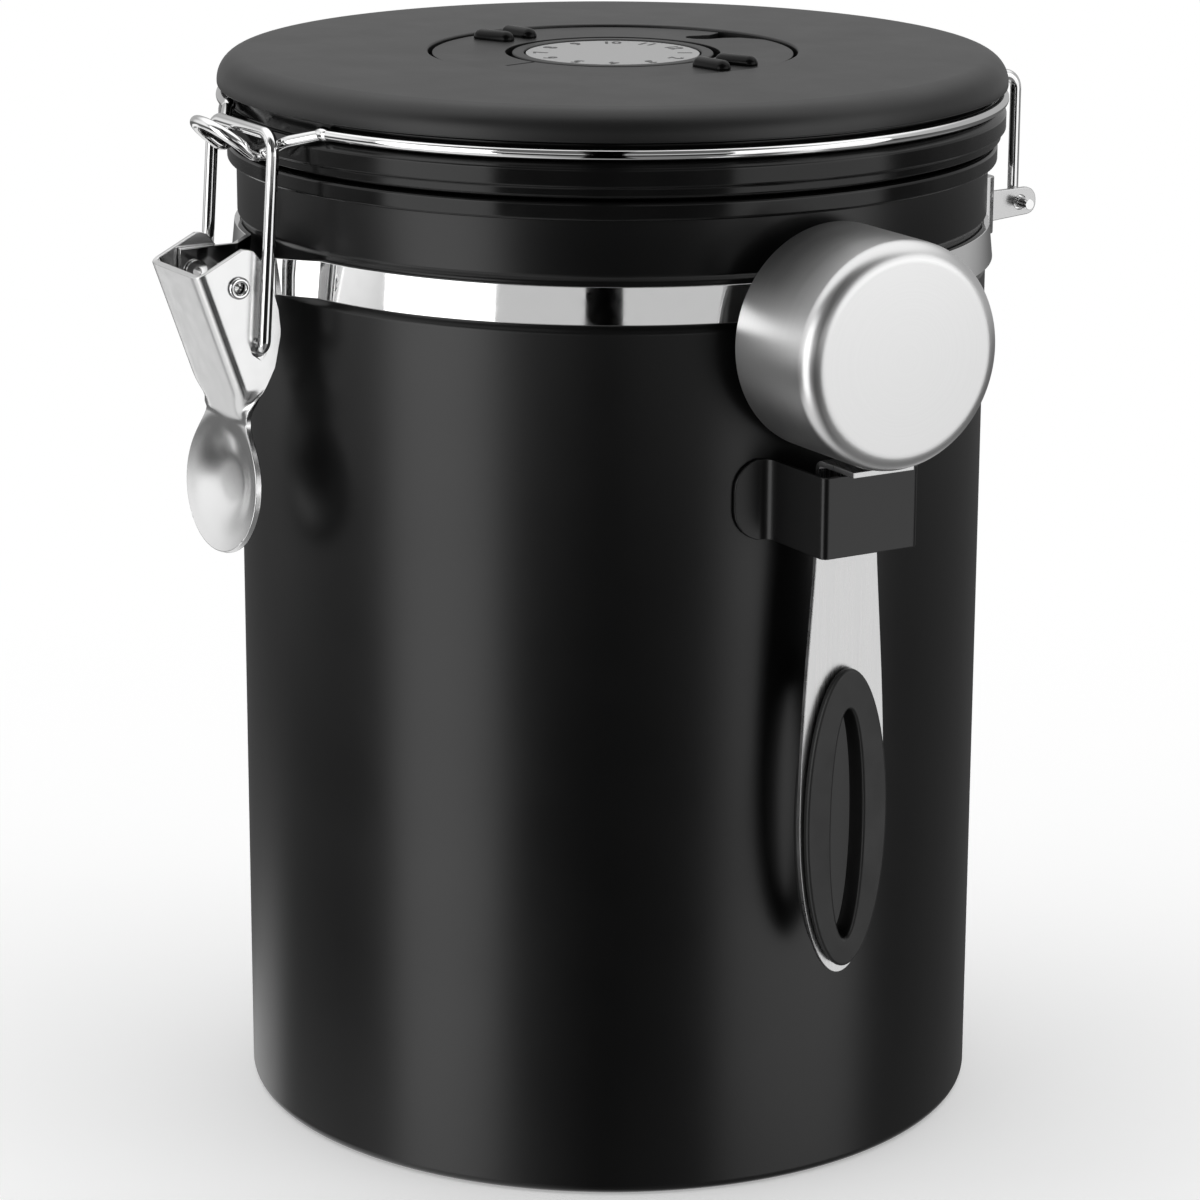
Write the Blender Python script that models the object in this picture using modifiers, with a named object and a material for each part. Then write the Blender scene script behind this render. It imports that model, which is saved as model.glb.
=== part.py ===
"""Coffee canister: a steel jar with a wire-bail lid, a date dial and a clipped-on scoop.

Metres, +Z up, origin at the centre of the base. The latch is at the front (-Y), the hinge
at the back (+Y), and the scoop hangs in its clip on the right (+X).
"""
import math

import bmesh
import bpy
from mathutils import Matrix, Vector

# general clearances and counts
GAP = 0.0003
OVERRUN = 0.002
RING_STEPS = 48
SMALL_STEPS = 28
PIN_STEPS = 12
SMOOTH_ANGLE = 40.0

# jar wall
BODY_RADIUS = 0.0624
BODY_WALL = 0.0008
BODY_HEIGHT = 0.1622
FOOT_RADIUS = 0.0016
FOOT_WIDTH = 0.0024
BASE_DISC_DRAFT = 0.0008

# rim collar, a stepped plastic ring over the mouth
COLLAR_OVERHANG = 0.0015
COLLAR_HEIGHT = 0.0030
COLLAR_CHAMFER = 0.0007
COLLAR_TOP_WEB = 0.0007
COLLAR_INNER_WALL = 0.0011
COLLAR_DEPTH = 0.0052

# neck band, a strap in a groove of the jar
BAND_BELOW_RIM = 0.0152
BAND_STAND_OUT = 0.0008
BAND_THICKNESS = 0.0010
BAND_HEIGHT = 0.0059
GROOVE_DEPTH = 0.0007
GROOVE_SHOULDER = 0.0013
EAR_BEND_SPREAD = 0.0132
EAR_BEND_REACH = 0.0036
EAR_TIP_BEYOND_PIVOT = 0.0026
BAND_MITRE_LIMIT = 0.5

# latch lever
LEVER_PIVOT_REACH = 0.0112
LEVER_PIVOT_BELOW_BAND = 0.0009
LEVER_HALF_WIDTH = 0.0090
LEVER_SHEET = 0.0010
BAIL_PIVOT_IN = 0.0033
BAIL_PIVOT_DOWN = 0.0100
WEB_TOP_OUT = 0.0067
WEB_TOP_UP = 0.0022
WEB_FOOT_IN = 0.0021
WEB_FOOT_DOWN = 0.0224
CHEEK_BACK = (
    (0.0010, 0.0058),
    (0.0028, 0.0056),
    (0.0044, 0.0036),
    (0.0070, -0.0031),
    (0.0074, -0.0077),
    (0.0063, -0.0133),
    (0.0036, -0.0182),
)
CHEEK_CORNER = 0.0009
NECK_HALF_WIDTH = 0.0075
TAB_LENGTH = 0.0222
TAB_HALF_WIDTH = 0.0128
TAB_DISH = 0.0019
TAB_LEAN_OUT = 0.0024

# eyelets that carry the lever
EYELET_RADIUS = 0.0012
EYELET_BORE = 0.0007
EYELET_FLANGE_RADIUS = 0.00195
EYELET_FLANGE = 0.0003

# bail wire
BAIL_WIRE_RADIUS = 0.0010
BAIL_BAR_REACH = 0.0056
BAIL_BAR_ABOVE_RIM = 0.0078
BAIL_CORNER = 0.0032
BAIL_FOOT_CORNER = 0.0018
BAIL_FOOT_LENGTH = 0.0038

# hinge bracket at the back
HINGE_REACH = 0.0146
HINGE_BELOW_BAND = 0.0003
BRACKET_HALF_WIDTH = 0.0120
BRACKET_HEIGHT = 0.0100
BRACKET_SETBACK = 0.0060
BRACKET_SHEET = 0.0012
BRACKET_CORNER = 0.0020
HINGE_EAR_SPACING = 0.0093
HINGE_EAR_SHEET = 0.0010
HINGE_EAR_HEIGHT = 0.0054
HINGE_EAR_BEYOND = 0.0034
HINGE_EAR_CORNER = 0.0012

# lid
LID_OVERHANG = 0.0030
LID_HEIGHT = 0.0153
LID_ROUNDING = 0.0044
CAP_SIDE = 0.0051
CAP_WALL = 0.0025
CAP_TOP_WALL = 0.0023
CAP_FLOOR = 0.0020
POCKET_RADIUS = 0.0306
POCKET_DEPTH = 0.0041
POCKET_CHAMFER = 0.0005
POCKET_WALL = 0.0024
WIRE_GROOVE_HEIGHT = 0.0030
WIRE_GROOVE_DEPTH = 0.0020
LID_FLANGE_INSET = 0.0002
LID_FLANGE_HEIGHT = 0.0037
LID_FLANGE_CHAMFER = 0.0010
LID_STEP = 0.0008
LID_PLATE = 0.0018
LID_PLATE_RAISE = 0.0019
LID_SPIGOT_WALL = 0.0020
LID_SPIGOT_RISE = 0.0009
LOCATOR_INSET = 0.0059
LOCATOR_WALL = 0.0016
LOCATOR_DEPTH = 0.0032
GASKET_HEIGHT = 0.0011
GASKET_WIDTH = 0.0048

# lid wire, one bent wire from hinge pin to hinge pin
LID_WIRE_RADIUS = 0.00095
LID_WIRE_INSET = 0.0008
LID_WIRE_LEG_SPREAD = 0.0080
LID_WIRE_LEG_FALL = 0.0021
LID_WIRE_PIN_REACH = 0.0132
LID_WIRE_CORNER = 0.0026
LID_WIRE_PIN_CORNER = 0.0014
TONGUE_ROOT_ANGLE = 15.2
TONGUE_HALF_WIDTH = 0.0062
TONGUE_SHOULDER = 0.0012
TONGUE_CLEARANCE = 0.00175
TONGUE_FLAT = 0.0012
TONGUE_NOSE = 0.0072
TONGUE_NOSE_RISE = 0.0049

# date dial
DAY_RING_CLEARANCE = 0.0007
DAY_RING_WIDTH = 0.0121
DAY_RING_HEIGHT = 0.0034
DAY_RING_CHAMFER = 0.0006
DAY_RIB_LENGTH = 0.0078
DAY_RIB_WIDTH = 0.0028
DAY_RIB_HEIGHT = 0.0016
DAY_RIB_INSET = 0.0065
DAY_RIB_ANGLES = (10.0, 24.6)
DAY_RIB_END_SHARE = 0.95
MONTH_KNOB_CLEARANCE = 0.0011
MONTH_KNOB_HEIGHT = 0.0034
MONTH_BEZEL = 0.0020
MONTH_FACE_SHEET = 0.0004
MONTH_FACE_SUNK = 0.0002
DIAL_PIN_RADIUS = 0.0020
DIAL_PIN_HEAD = 0.0034
DIAL_PIN_HEAD_HEIGHT = 0.0008
DIAL_PIN_RISE = 0.0015

# degassing valve in the lid
VALVE_HOLE_RADIUS = 0.0090
VALVE_FLANGE_RADIUS = 0.0110
VALVE_FLANGE = 0.0010
VALVE_DEPTH = 0.0056
VALVE_WALL = 0.0012
VALVE_SEAT_BORE = 0.0025
VALVE_FLAP_RADIUS = 0.0056
VALVE_FLAP_SHEET = 0.0008
VALVE_CAP_SHEET = 0.0014
VALVE_CAP_VENT = 0.0020

# scoop clip, a coated steel sleeve on the jar
CLIP_BELOW_RIM = 0.0401
CLIP_SHEET = 0.0006
CLIP_HALF_WIDTH = 0.0089
CLIP_REACH = 0.0156
CLIP_HEIGHT = 0.0129
CLIP_WING_HALF_WIDTH = 0.0145
CLIP_WING_CORNER = 0.0050

# scoop, with heights measured down from the top of its clip
CUP_RADIUS = 0.0178
CUP_WALL = 0.0008
CUP_DEPTH = 0.0204
CUP_CLEARANCE = 0.0007
CUP_ROUNDING = 0.0025
STRIP_REACH = 0.0086
STRIP_SHEET = 0.0009
STRIP_TOP_HALF_WIDTH = 0.0056
STRIP_WIDE_HALF_WIDTH = 0.0079
STRIP_WIDE_DOWN = 0.0571
STRIP_LENGTH = 0.0837
STRIP_FLANGE = 0.0100
STRIP_TAPER_SHARES = ((0.68, 0.58), (0.92, 0.82))
GRIP_HALF_WIDTH = 0.0076
GRIP_DOWN = 0.0328
GRIP_LENGTH = 0.0494
GRIP_PROUD = 0.0014
GRIP_SLOT_HALF_WIDTH = 0.0030
GRIP_SLOT_MARGIN = 0.0066
GRIP_SLOT_FOOT_MARGIN = 0.0047
GRIP_SLEEVE_WALL = 0.0012

# places worked out from the sizes above
COLLAR_RADIUS = BODY_RADIUS + COLLAR_OVERHANG
COLLAR_TOP = BODY_HEIGHT + GAP + COLLAR_TOP_WEB
BAND_RADIUS = BODY_RADIUS + BAND_STAND_OUT
BAND_MIDDLE = BODY_HEIGHT - BAND_BELOW_RIM
LEVER_PIVOT_OUT = BODY_RADIUS + LEVER_PIVOT_REACH
LEVER_PIVOT = Vector((0.0, -LEVER_PIVOT_OUT, BAND_MIDDLE - LEVER_PIVOT_BELOW_BAND))
LEVER_INNER = LEVER_HALF_WIDTH - LEVER_SHEET
BAND_EAR_OUTER = LEVER_INNER - GAP
BAIL_PIVOT = LEVER_PIVOT + Vector((0.0, BAIL_PIVOT_IN, -BAIL_PIVOT_DOWN))
BAIL_BAR = Vector((0.0, -(BODY_RADIUS + BAIL_BAR_REACH), BODY_HEIGHT + BAIL_BAR_ABOVE_RIM))
BAIL_HALF_WIDTH = LEVER_HALF_WIDTH + GAP + EYELET_FLANGE + GAP + BAIL_WIRE_RADIUS
HINGE_OUT = BODY_RADIUS + HINGE_REACH
HINGE_AXIS = Vector((0.0, HINGE_OUT, BAND_MIDDLE - HINGE_BELOW_BAND))
LID_RADIUS = BODY_RADIUS + LID_OVERHANG
LID_TOP = BODY_HEIGHT + LID_HEIGHT
CAP_BOTTOM = LID_TOP - CAP_SIDE
LID_FLANGE_RADIUS = LID_RADIUS - LID_FLANGE_INSET
LID_FLANGE_TOP = CAP_BOTTOM - WIRE_GROOVE_HEIGHT
LID_FLANGE_BOTTOM = LID_FLANGE_TOP - LID_FLANGE_HEIGHT
LID_WIRE_RING = LID_RADIUS - LID_WIRE_INSET
LID_WIRE_LEVEL = LID_FLANGE_TOP + GAP + LID_WIRE_RADIUS
LID_SEAT = COLLAR_TOP + GAP + GAP
LID_PLATE_TOP = LID_SEAT + LID_PLATE_RAISE + GASKET_HEIGHT + GAP
GASKET_OUTER = BODY_RADIUS + GAP
GASKET_INNER = GASKET_OUTER - GASKET_WIDTH
LOCATOR_RADIUS = BODY_RADIUS - LOCATOR_INSET
POCKET_LEVEL = LID_TOP - POCKET_DEPTH
DAY_RING_RADIUS = POCKET_RADIUS - DAY_RING_CLEARANCE
DAY_RING_BORE = DAY_RING_RADIUS - DAY_RING_WIDTH
MONTH_KNOB_RADIUS = DAY_RING_BORE - MONTH_KNOB_CLEARANCE
CLIP_TOP = BODY_HEIGHT - CLIP_BELOW_RIM
CLIP_BOTTOM = CLIP_TOP - CLIP_HEIGHT
CLIP_FRONT_OUT = BODY_RADIUS + CLIP_REACH
CUP_MIDDLE = CLIP_TOP + GAP + STRIP_SHEET + GAP + CUP_RADIUS
CUP_MOUTH_OUT = LID_RADIUS + CUP_CLEARANCE
STRIP_OUT = BODY_RADIUS + STRIP_REACH
STRIP_WIDE_UP = CLIP_TOP - STRIP_WIDE_DOWN
STRIP_END = CLIP_TOP - STRIP_LENGTH
GRIP_TOP = CLIP_TOP - GRIP_DOWN
GRIP_BOTTOM = GRIP_TOP - GRIP_LENGTH
GRIP_SLOT_TOP = GRIP_TOP - GRIP_SLOT_MARGIN
GRIP_SLOT_BOTTOM = GRIP_BOTTOM + GRIP_SLOT_FOOT_MARGIN


def clear_scene():
    for existing in list(bpy.data.objects):
        bpy.data.objects.remove(existing, do_unlink=True)


def make_collection(name):
    collection = bpy.data.collections.get(name)
    if collection is None:
        collection = bpy.data.collections.new(name)
        bpy.context.scene.collection.children.link(collection)
    return collection


def make_material(name, colour, metallic, roughness):
    material = bpy.data.materials.new(name)
    material.use_nodes = True
    shader = material.node_tree.nodes["Principled BSDF"]
    shader.inputs["Base Color"].default_value = (*colour, 1.0)
    shader.inputs["Metallic"].default_value = metallic
    shader.inputs["Roughness"].default_value = roughness
    return material


def arc(centre_out, centre_up, radius, start, end, steps):
    """Points of a profile arc, angles in degrees from the outward direction."""
    points = []
    for index in range(steps + 1):
        angle = math.radians(start + (end - start) * index / steps)
        points.append((centre_out + radius * math.cos(angle), centre_up + radius * math.sin(angle)))
    return points


def add_object(name, data, material, collection):
    obj = bpy.data.objects.new(name, data)
    collection.objects.link(obj)
    if material is not None:
        own = material.copy()
        own.name = name + "_finish"
        data.materials.append(own)
    return obj


def shade_round(obj):
    obj.data.shade_smooth()
    obj.data.set_sharp_from_angle(angle=math.radians(SMOOTH_ANGLE))


def turned(name, profile, material, collection, closed=True, steps=RING_STEPS):
    """A profile of (radius, height) turned about Z; its outer side runs from top to bottom."""
    mesh = bpy.data.meshes.new(name)
    points = [(radius, 0.0, height) for radius, height in profile]
    edges = [(index, index + 1) for index in range(len(points) - 1)]
    if closed:
        edges.append((len(points) - 1, 0))
    mesh.from_pydata(points, edges, [])
    obj = add_object(name, mesh, material, collection)
    screw = obj.modifiers.new("Turn", "SCREW")
    screw.axis = "Z"
    screw.angle = math.tau
    screw.steps = steps
    screw.render_steps = steps
    screw.use_merge_vertices = True
    screw.merge_threshold = 0.00001
    screw.use_smooth_shade = True
    return obj


def evaluated_mesh(obj, name):
    bpy.context.view_layer.update()
    depsgraph = bpy.context.evaluated_depsgraph_get()
    mesh = bpy.data.meshes.new_from_object(obj.evaluated_get(depsgraph))
    mesh.name = name
    work = bmesh.new()
    work.from_mesh(mesh)
    bmesh.ops.remove_doubles(work, verts=work.verts, dist=0.000001)
    bmesh.ops.recalc_face_normals(work, faces=work.faces)
    work.to_mesh(mesh)
    work.free()
    return mesh


def sheet(name, outlines, half_thickness, frame, material, collection):
    """Flat outlines, the first solid and the rest holes, thickened and put in the given frame."""
    curve = bpy.data.curves.new(name + "_outline", "CURVE")
    curve.dimensions = "2D"
    curve.fill_mode = "BOTH"
    curve.extrude = half_thickness
    for outline in outlines:
        spline = curve.splines.new("POLY")
        spline.points.add(len(outline) - 1)
        for point, (across, along) in zip(spline.points, outline):
            point.co = (across, along, 0.0, 1.0)
        spline.use_cyclic_u = True
    guide = bpy.data.objects.new(name + "_outline", curve)
    collection.objects.link(guide)
    mesh = evaluated_mesh(guide, name)
    bpy.data.objects.remove(guide, do_unlink=True)
    mesh.materials.clear()
    mesh.transform(frame)
    if frame.determinant() < 0.0:
        mesh.flip_normals()
    return add_object(name, mesh, material, collection)


def frame_of(origin, across, along):
    """A matrix whose X runs along across and whose Y runs along along."""
    across = Vector(across)
    along = Vector(along)
    matrix = Matrix((across, along, across.cross(along))).transposed().to_4x4()
    matrix.translation = Vector(origin)
    return matrix


def circle(centre, radius, steps=PIN_STEPS):
    points = []
    for index in range(steps):
        angle = math.tau * index / steps
        points.append((centre[0] + radius * math.cos(angle), centre[1] + radius * math.sin(angle)))
    return points


def rounded(corners, radii, steps=4):
    """A closed outline with each corner cut by an arc of the given radius."""
    points = []
    count = len(corners)
    for index in range(count):
        here = Vector(corners[index])
        before = Vector(corners[index - 1]) - here
        after = Vector(corners[(index + 1) % count]) - here
        points.extend(corner_arc(here, before, after, radii[index], steps))
    return points


def corner_arc(here, before, after, radius, steps):
    """The arc that rounds a corner between the directions to its neighbours."""
    if radius <= 0.0:
        return [here]
    before = before.normalized()
    after = after.normalized()
    half = before.angle(after) / 2.0
    reach = radius / math.tan(half)
    bisector = (before + after).normalized()
    centre = here + bisector * (radius / math.sin(half))
    start = here + before * reach - centre
    end = here + after * reach - centre
    sweep = start.angle(end)
    points = []
    for index in range(steps + 1):
        share = index / steps
        first = math.sin((1.0 - share) * sweep) / math.sin(sweep)
        second = math.sin(share * sweep) / math.sin(sweep)
        points.append(centre + start * first + end * second)
    return points


def rounded_path(corners, radii, steps=4):
    """An open path in space with its inner corners rounded."""
    points = [Vector(corners[0])]
    for index in range(1, len(corners) - 1):
        here = Vector(corners[index])
        before = Vector(corners[index - 1]) - here
        after = Vector(corners[index + 1]) - here
        points.extend(corner_arc(here, before, after, radii[index - 1], steps))
    points.append(Vector(corners[-1]))
    return points


def wire(name, points, radius, material, collection):
    curve = bpy.data.curves.new(name, "CURVE")
    curve.dimensions = "3D"
    curve.bevel_depth = radius
    curve.bevel_resolution = 2
    curve.use_fill_caps = True
    spline = curve.splines.new("POLY")
    spline.points.add(len(points) - 1)
    for target, point in zip(spline.points, points):
        target.co = (*point, 1.0)
    spline.use_smooth = True
    return add_object(name, curve, material, collection)


def cutter(name, mesh, cutters):
    obj = bpy.data.objects.new(name, mesh)
    cutters.objects.link(obj)
    obj.hide_render = True
    obj.display_type = "WIRE"
    return obj


def pin_cutter(name, centre, radius, half_length, cutters):
    """A round cutter along X."""
    work = bmesh.new()
    turn = Matrix.Translation(centre) @ Matrix.Rotation(math.pi / 2.0, 4, "Y")
    bmesh.ops.create_cone(work, cap_ends=True, segments=PIN_STEPS, radius1=radius, radius2=radius,
                          depth=2.0 * half_length, matrix=turn)
    mesh = bpy.data.meshes.new(name)
    work.to_mesh(mesh)
    work.free()
    return cutter(name, mesh, cutters)


def boolean(obj, other, operation):
    modifier = obj.modifiers.new(operation.title(), "BOOLEAN")
    modifier.operation = operation
    modifier.solver = "EXACT"
    modifier.object = other
    return modifier


def join_into(obj, other, cutters):
    """Union another solid into an object and keep the other only as a guide."""
    for collection in list(other.users_collection):
        collection.objects.unlink(other)
    cutters.objects.link(other)
    other.hide_render = True
    other.display_type = "WIRE"
    boolean(obj, other, "UNION")


def mirrored(points):
    return [(-across, along) for across, along in reversed(points)]


def body_shell(material, parts):
    outer = BODY_RADIUS
    floor = outer - GROOVE_DEPTH
    groove_top = BAND_MIDDLE + BAND_HEIGHT / 2.0 + GAP
    groove_foot = BAND_MIDDLE - BAND_HEIGHT / 2.0 - GAP
    foot_in = outer - FOOT_RADIUS
    foot = arc(foot_in, FOOT_RADIUS, FOOT_RADIUS, 0.0, -90.0, 3)
    inner_foot = arc(foot_in, FOOT_RADIUS, FOOT_RADIUS - BODY_WALL, -90.0, 0.0, 2)
    wall = [
        (outer, BODY_HEIGHT),
        (outer, groove_top + GROOVE_SHOULDER),
        (floor, groove_top),
        (floor, groove_foot),
        (outer, groove_foot - GROOVE_SHOULDER),
    ]
    inside = [(radius - BODY_WALL, height) for radius, height in reversed(wall)]
    lip = [(foot_in - FOOT_WIDTH, 0.0), (foot_in - FOOT_WIDTH, BODY_WALL)]
    return turned("body_shell", wall + foot + lip + inner_foot + inside, material, parts)


def base_disc(material, parts):
    """A pressed plate: its rim lies on the turned-in foot and its middle drops level with it."""
    rim = BODY_RADIUS - BODY_WALL - GAP - GAP
    under = BODY_WALL + GAP
    well = BODY_RADIUS - FOOT_RADIUS - FOOT_WIDTH - GAP
    inner = well - BODY_WALL
    return turned("base_disc", [
        (0.0, BODY_WALL),
        (inner - BASE_DISC_DRAFT, BODY_WALL),
        (inner, under + BODY_WALL),
        (rim, under + BODY_WALL),
        (rim, under),
        (well, under),
        (well - BASE_DISC_DRAFT, 0.0),
        (0.0, 0.0),
    ], material, parts, closed=False)


def rim_collar(material, parts):
    top = COLLAR_TOP
    bottom = top - COLLAR_HEIGHT
    slot_outer = BODY_RADIUS + GAP
    slot_inner = BODY_RADIUS - BODY_WALL - GAP
    mouth = slot_inner - COLLAR_INNER_WALL
    profile = [
        (COLLAR_RADIUS - COLLAR_CHAMFER, top),
        (COLLAR_RADIUS, top - COLLAR_CHAMFER),
        (COLLAR_RADIUS, bottom + COLLAR_CHAMFER),
        (COLLAR_RADIUS - COLLAR_CHAMFER, bottom),
        (slot_outer, bottom),
        (slot_outer, BODY_HEIGHT + GAP),
        (slot_inner, BODY_HEIGHT + GAP),
        (slot_inner, top - COLLAR_DEPTH),
        (mouth, top - COLLAR_DEPTH),
        (mouth, top),
    ]
    return turned("rim_collar", profile, material, parts)


def neck_band(material, parts, cutters):
    """A strap round the groove whose two ends bend outward into the lever's ears."""
    middle = BAND_RADIUS - BAND_THICKNESS / 2.0
    half = BAND_THICKNESS / 2.0
    ear_middle = BAND_EAR_OUTER - half
    bend_angle = math.degrees(math.asin(EAR_BEND_SPREAD / middle))
    start = -90.0 + bend_angle
    steps = RING_STEPS
    path = [(ear_middle, -(LEVER_PIVOT_OUT + EAR_TIP_BEYOND_PIVOT)), (ear_middle, -(middle + EAR_BEND_REACH))]
    path += arc(0.0, 0.0, middle, start, 90.0, steps // 2)
    path = path + [(-across, along) for across, along in reversed(path[:-1])]
    left = []
    right = []
    for index, point in enumerate(path):
        before = Vector(path[max(index - 1, 0)])
        after = Vector(path[min(index + 1, len(path) - 1)])
        here = Vector(point)
        into = (here - before).normalized() if index > 0 else (after - here).normalized()
        out = (after - here).normalized() if index < len(path) - 1 else into
        normal = Vector((-(into + out).y, (into + out).x)).normalized()
        width = half / max(BAND_MITRE_LIMIT, normal.dot(Vector((-into.y, into.x))))
        left.append(tuple(here + normal * width))
        right.append(tuple(here - normal * width))
    frame = frame_of((0.0, 0.0, BAND_MIDDLE), (1.0, 0.0, 0.0), (0.0, 1.0, 0.0))
    band = sheet("neck_band", [left + right[::-1]], BAND_HEIGHT / 2.0, frame, material, parts)
    hole = pin_cutter("band_eyelet_hole", LEVER_PIVOT, EYELET_RADIUS + GAP, LEVER_HALF_WIDTH, cutters)
    boolean(band, hole, "DIFFERENCE")
    return band


def eyelet_profile():
    """Half an eyelet, outward from the middle of the jar, as (radius, distance from the middle)."""
    ear_inner = BAND_EAR_OUTER - BAND_THICKNESS
    inside = ear_inner - GAP
    outside = LEVER_HALF_WIDTH + GAP
    return [
        (EYELET_BORE, outside + EYELET_FLANGE),
        (EYELET_FLANGE_RADIUS, outside + EYELET_FLANGE),
        (EYELET_FLANGE_RADIUS, outside),
        (EYELET_RADIUS, outside),
        (EYELET_RADIUS, inside),
        (EYELET_FLANGE_RADIUS, inside),
        (EYELET_FLANGE_RADIUS, inside - EYELET_FLANGE),
        (EYELET_BORE, inside - EYELET_FLANGE),
    ]


def lever_eyelet(name, direction, material, parts):
    """A hollow rivet through one ear and one lever cheek."""
    obj = turned(name, eyelet_profile(), material, parts, steps=PIN_STEPS)
    mesh = evaluated_mesh(obj, name)
    bpy.data.objects.remove(obj, do_unlink=True)
    mesh.transform(Matrix.Translation(LEVER_PIVOT) @ Matrix.Rotation(direction * math.pi / 2.0, 4, "Y"))
    eyelet = add_object(name, mesh, None, parts)
    shade_round(eyelet)
    return eyelet


def lever_sheet_points():
    """Middle line of the lever's front sheet: (along Y, along Z, half width, dish)."""
    top = LEVER_PIVOT + Vector((0.0, -WEB_TOP_OUT, WEB_TOP_UP))
    foot = LEVER_PIVOT + Vector((0.0, WEB_FOOT_IN, -WEB_FOOT_DOWN))
    rows = []
    web_shares = (0.0, 0.35, 0.7, 0.9)
    for share in web_shares:
        point = top.lerp(foot, share)
        rows.append((point.y, point.z, LEVER_HALF_WIDTH, 0.0))
    tab_shares = (0.0, 0.07, 0.16, 0.28, 0.42, 0.56, 0.7, 0.82, 0.91, 0.97, 1.0)
    for share in tab_shares:
        along = (share - 0.5) * 2.0
        bulge = math.sqrt(max(0.0, 1.0 - along * along))
        width = TAB_HALF_WIDTH * bulge
        if share < 0.5:
            width = max(width, NECK_HALF_WIDTH)
        width = max(width, LEVER_SHEET)
        outward = TAB_LEAN_OUT * share
        rows.append((foot.y - outward, foot.z - TAB_LENGTH * share, width, TAB_DISH * bulge * bulge))
    return rows


def lever_cheek_outline():
    """One cheek of the lever in (Y, Z) about its pivot, as it stands closed."""
    top = Vector((-WEB_TOP_OUT, WEB_TOP_UP))
    foot = Vector((WEB_FOOT_IN, -WEB_FOOT_DOWN))
    end_share = 0.92
    corners = [top] + [Vector(point) for point in CHEEK_BACK] + [top.lerp(foot, end_share)]
    radii = [0.0] + [CHEEK_CORNER] * len(CHEEK_BACK) + [0.0]
    return rounded(corners, radii, 3)


def latch_lever(material, parts, cutters):
    """A pressed channel: a front sheet that ends in a dished thumb tab, and two cheeks."""
    rows = lever_sheet_points()
    across_shares = (-1.0, -0.82, -0.5, 0.0, 0.5, 0.82, 1.0)
    work = bmesh.new()
    grid = []
    for along_y, along_z, half_width, dish in rows:
        line = []
        for share in across_shares:
            sunk = dish * (1.0 - share * share)
            line.append(work.verts.new((share * half_width, along_y + sunk, along_z)))
        grid.append(line)
    for upper, lower in zip(grid, grid[1:]):
        for index in range(len(across_shares) - 1):
            work.faces.new((upper[index], upper[index + 1], lower[index + 1], lower[index]))
    bmesh.ops.recalc_face_normals(work, faces=work.faces)
    mesh = bpy.data.meshes.new("latch_lever")
    work.to_mesh(mesh)
    work.free()
    lever = add_object("latch_lever", mesh, material, parts)
    solid = lever.modifiers.new("Sheet", "SOLIDIFY")
    solid.thickness = LEVER_SHEET
    solid.offset = 0.0
    solid.use_even_offset = True
    holes = [
        circle((0.0, 0.0), EYELET_RADIUS + GAP),
        circle((BAIL_PIVOT_IN, -BAIL_PIVOT_DOWN), BAIL_WIRE_RADIUS + GAP),
    ]
    for side in (1.0, -1.0):
        middle = side * (LEVER_HALF_WIDTH - LEVER_SHEET / 2.0)
        frame = frame_of(LEVER_PIVOT + Vector((middle, 0.0, 0.0)), (0.0, 1.0, 0.0), (0.0, 0.0, 1.0))
        cheek = sheet("lever_cheek", [lever_cheek_outline()] + holes, LEVER_SHEET / 2.0, frame, None, parts)
        join_into(lever, cheek, cutters)
    return lever


def bail_wire(material, parts):
    foot = BAIL_HALF_WIDTH - BAIL_FOOT_LENGTH
    corners = [
        BAIL_PIVOT + Vector((foot, 0.0, 0.0)),
        BAIL_PIVOT + Vector((BAIL_HALF_WIDTH, 0.0, 0.0)),
        BAIL_BAR + Vector((BAIL_HALF_WIDTH, 0.0, 0.0)),
        BAIL_BAR - Vector((BAIL_HALF_WIDTH, 0.0, 0.0)),
        BAIL_PIVOT - Vector((BAIL_HALF_WIDTH, 0.0, 0.0)),
        BAIL_PIVOT - Vector((foot, 0.0, 0.0)),
    ]
    radii = [BAIL_FOOT_CORNER, BAIL_CORNER, BAIL_CORNER, BAIL_FOOT_CORNER]
    return wire("bail_wire", rounded_path(corners, radii), BAIL_WIRE_RADIUS, material, parts)


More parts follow.
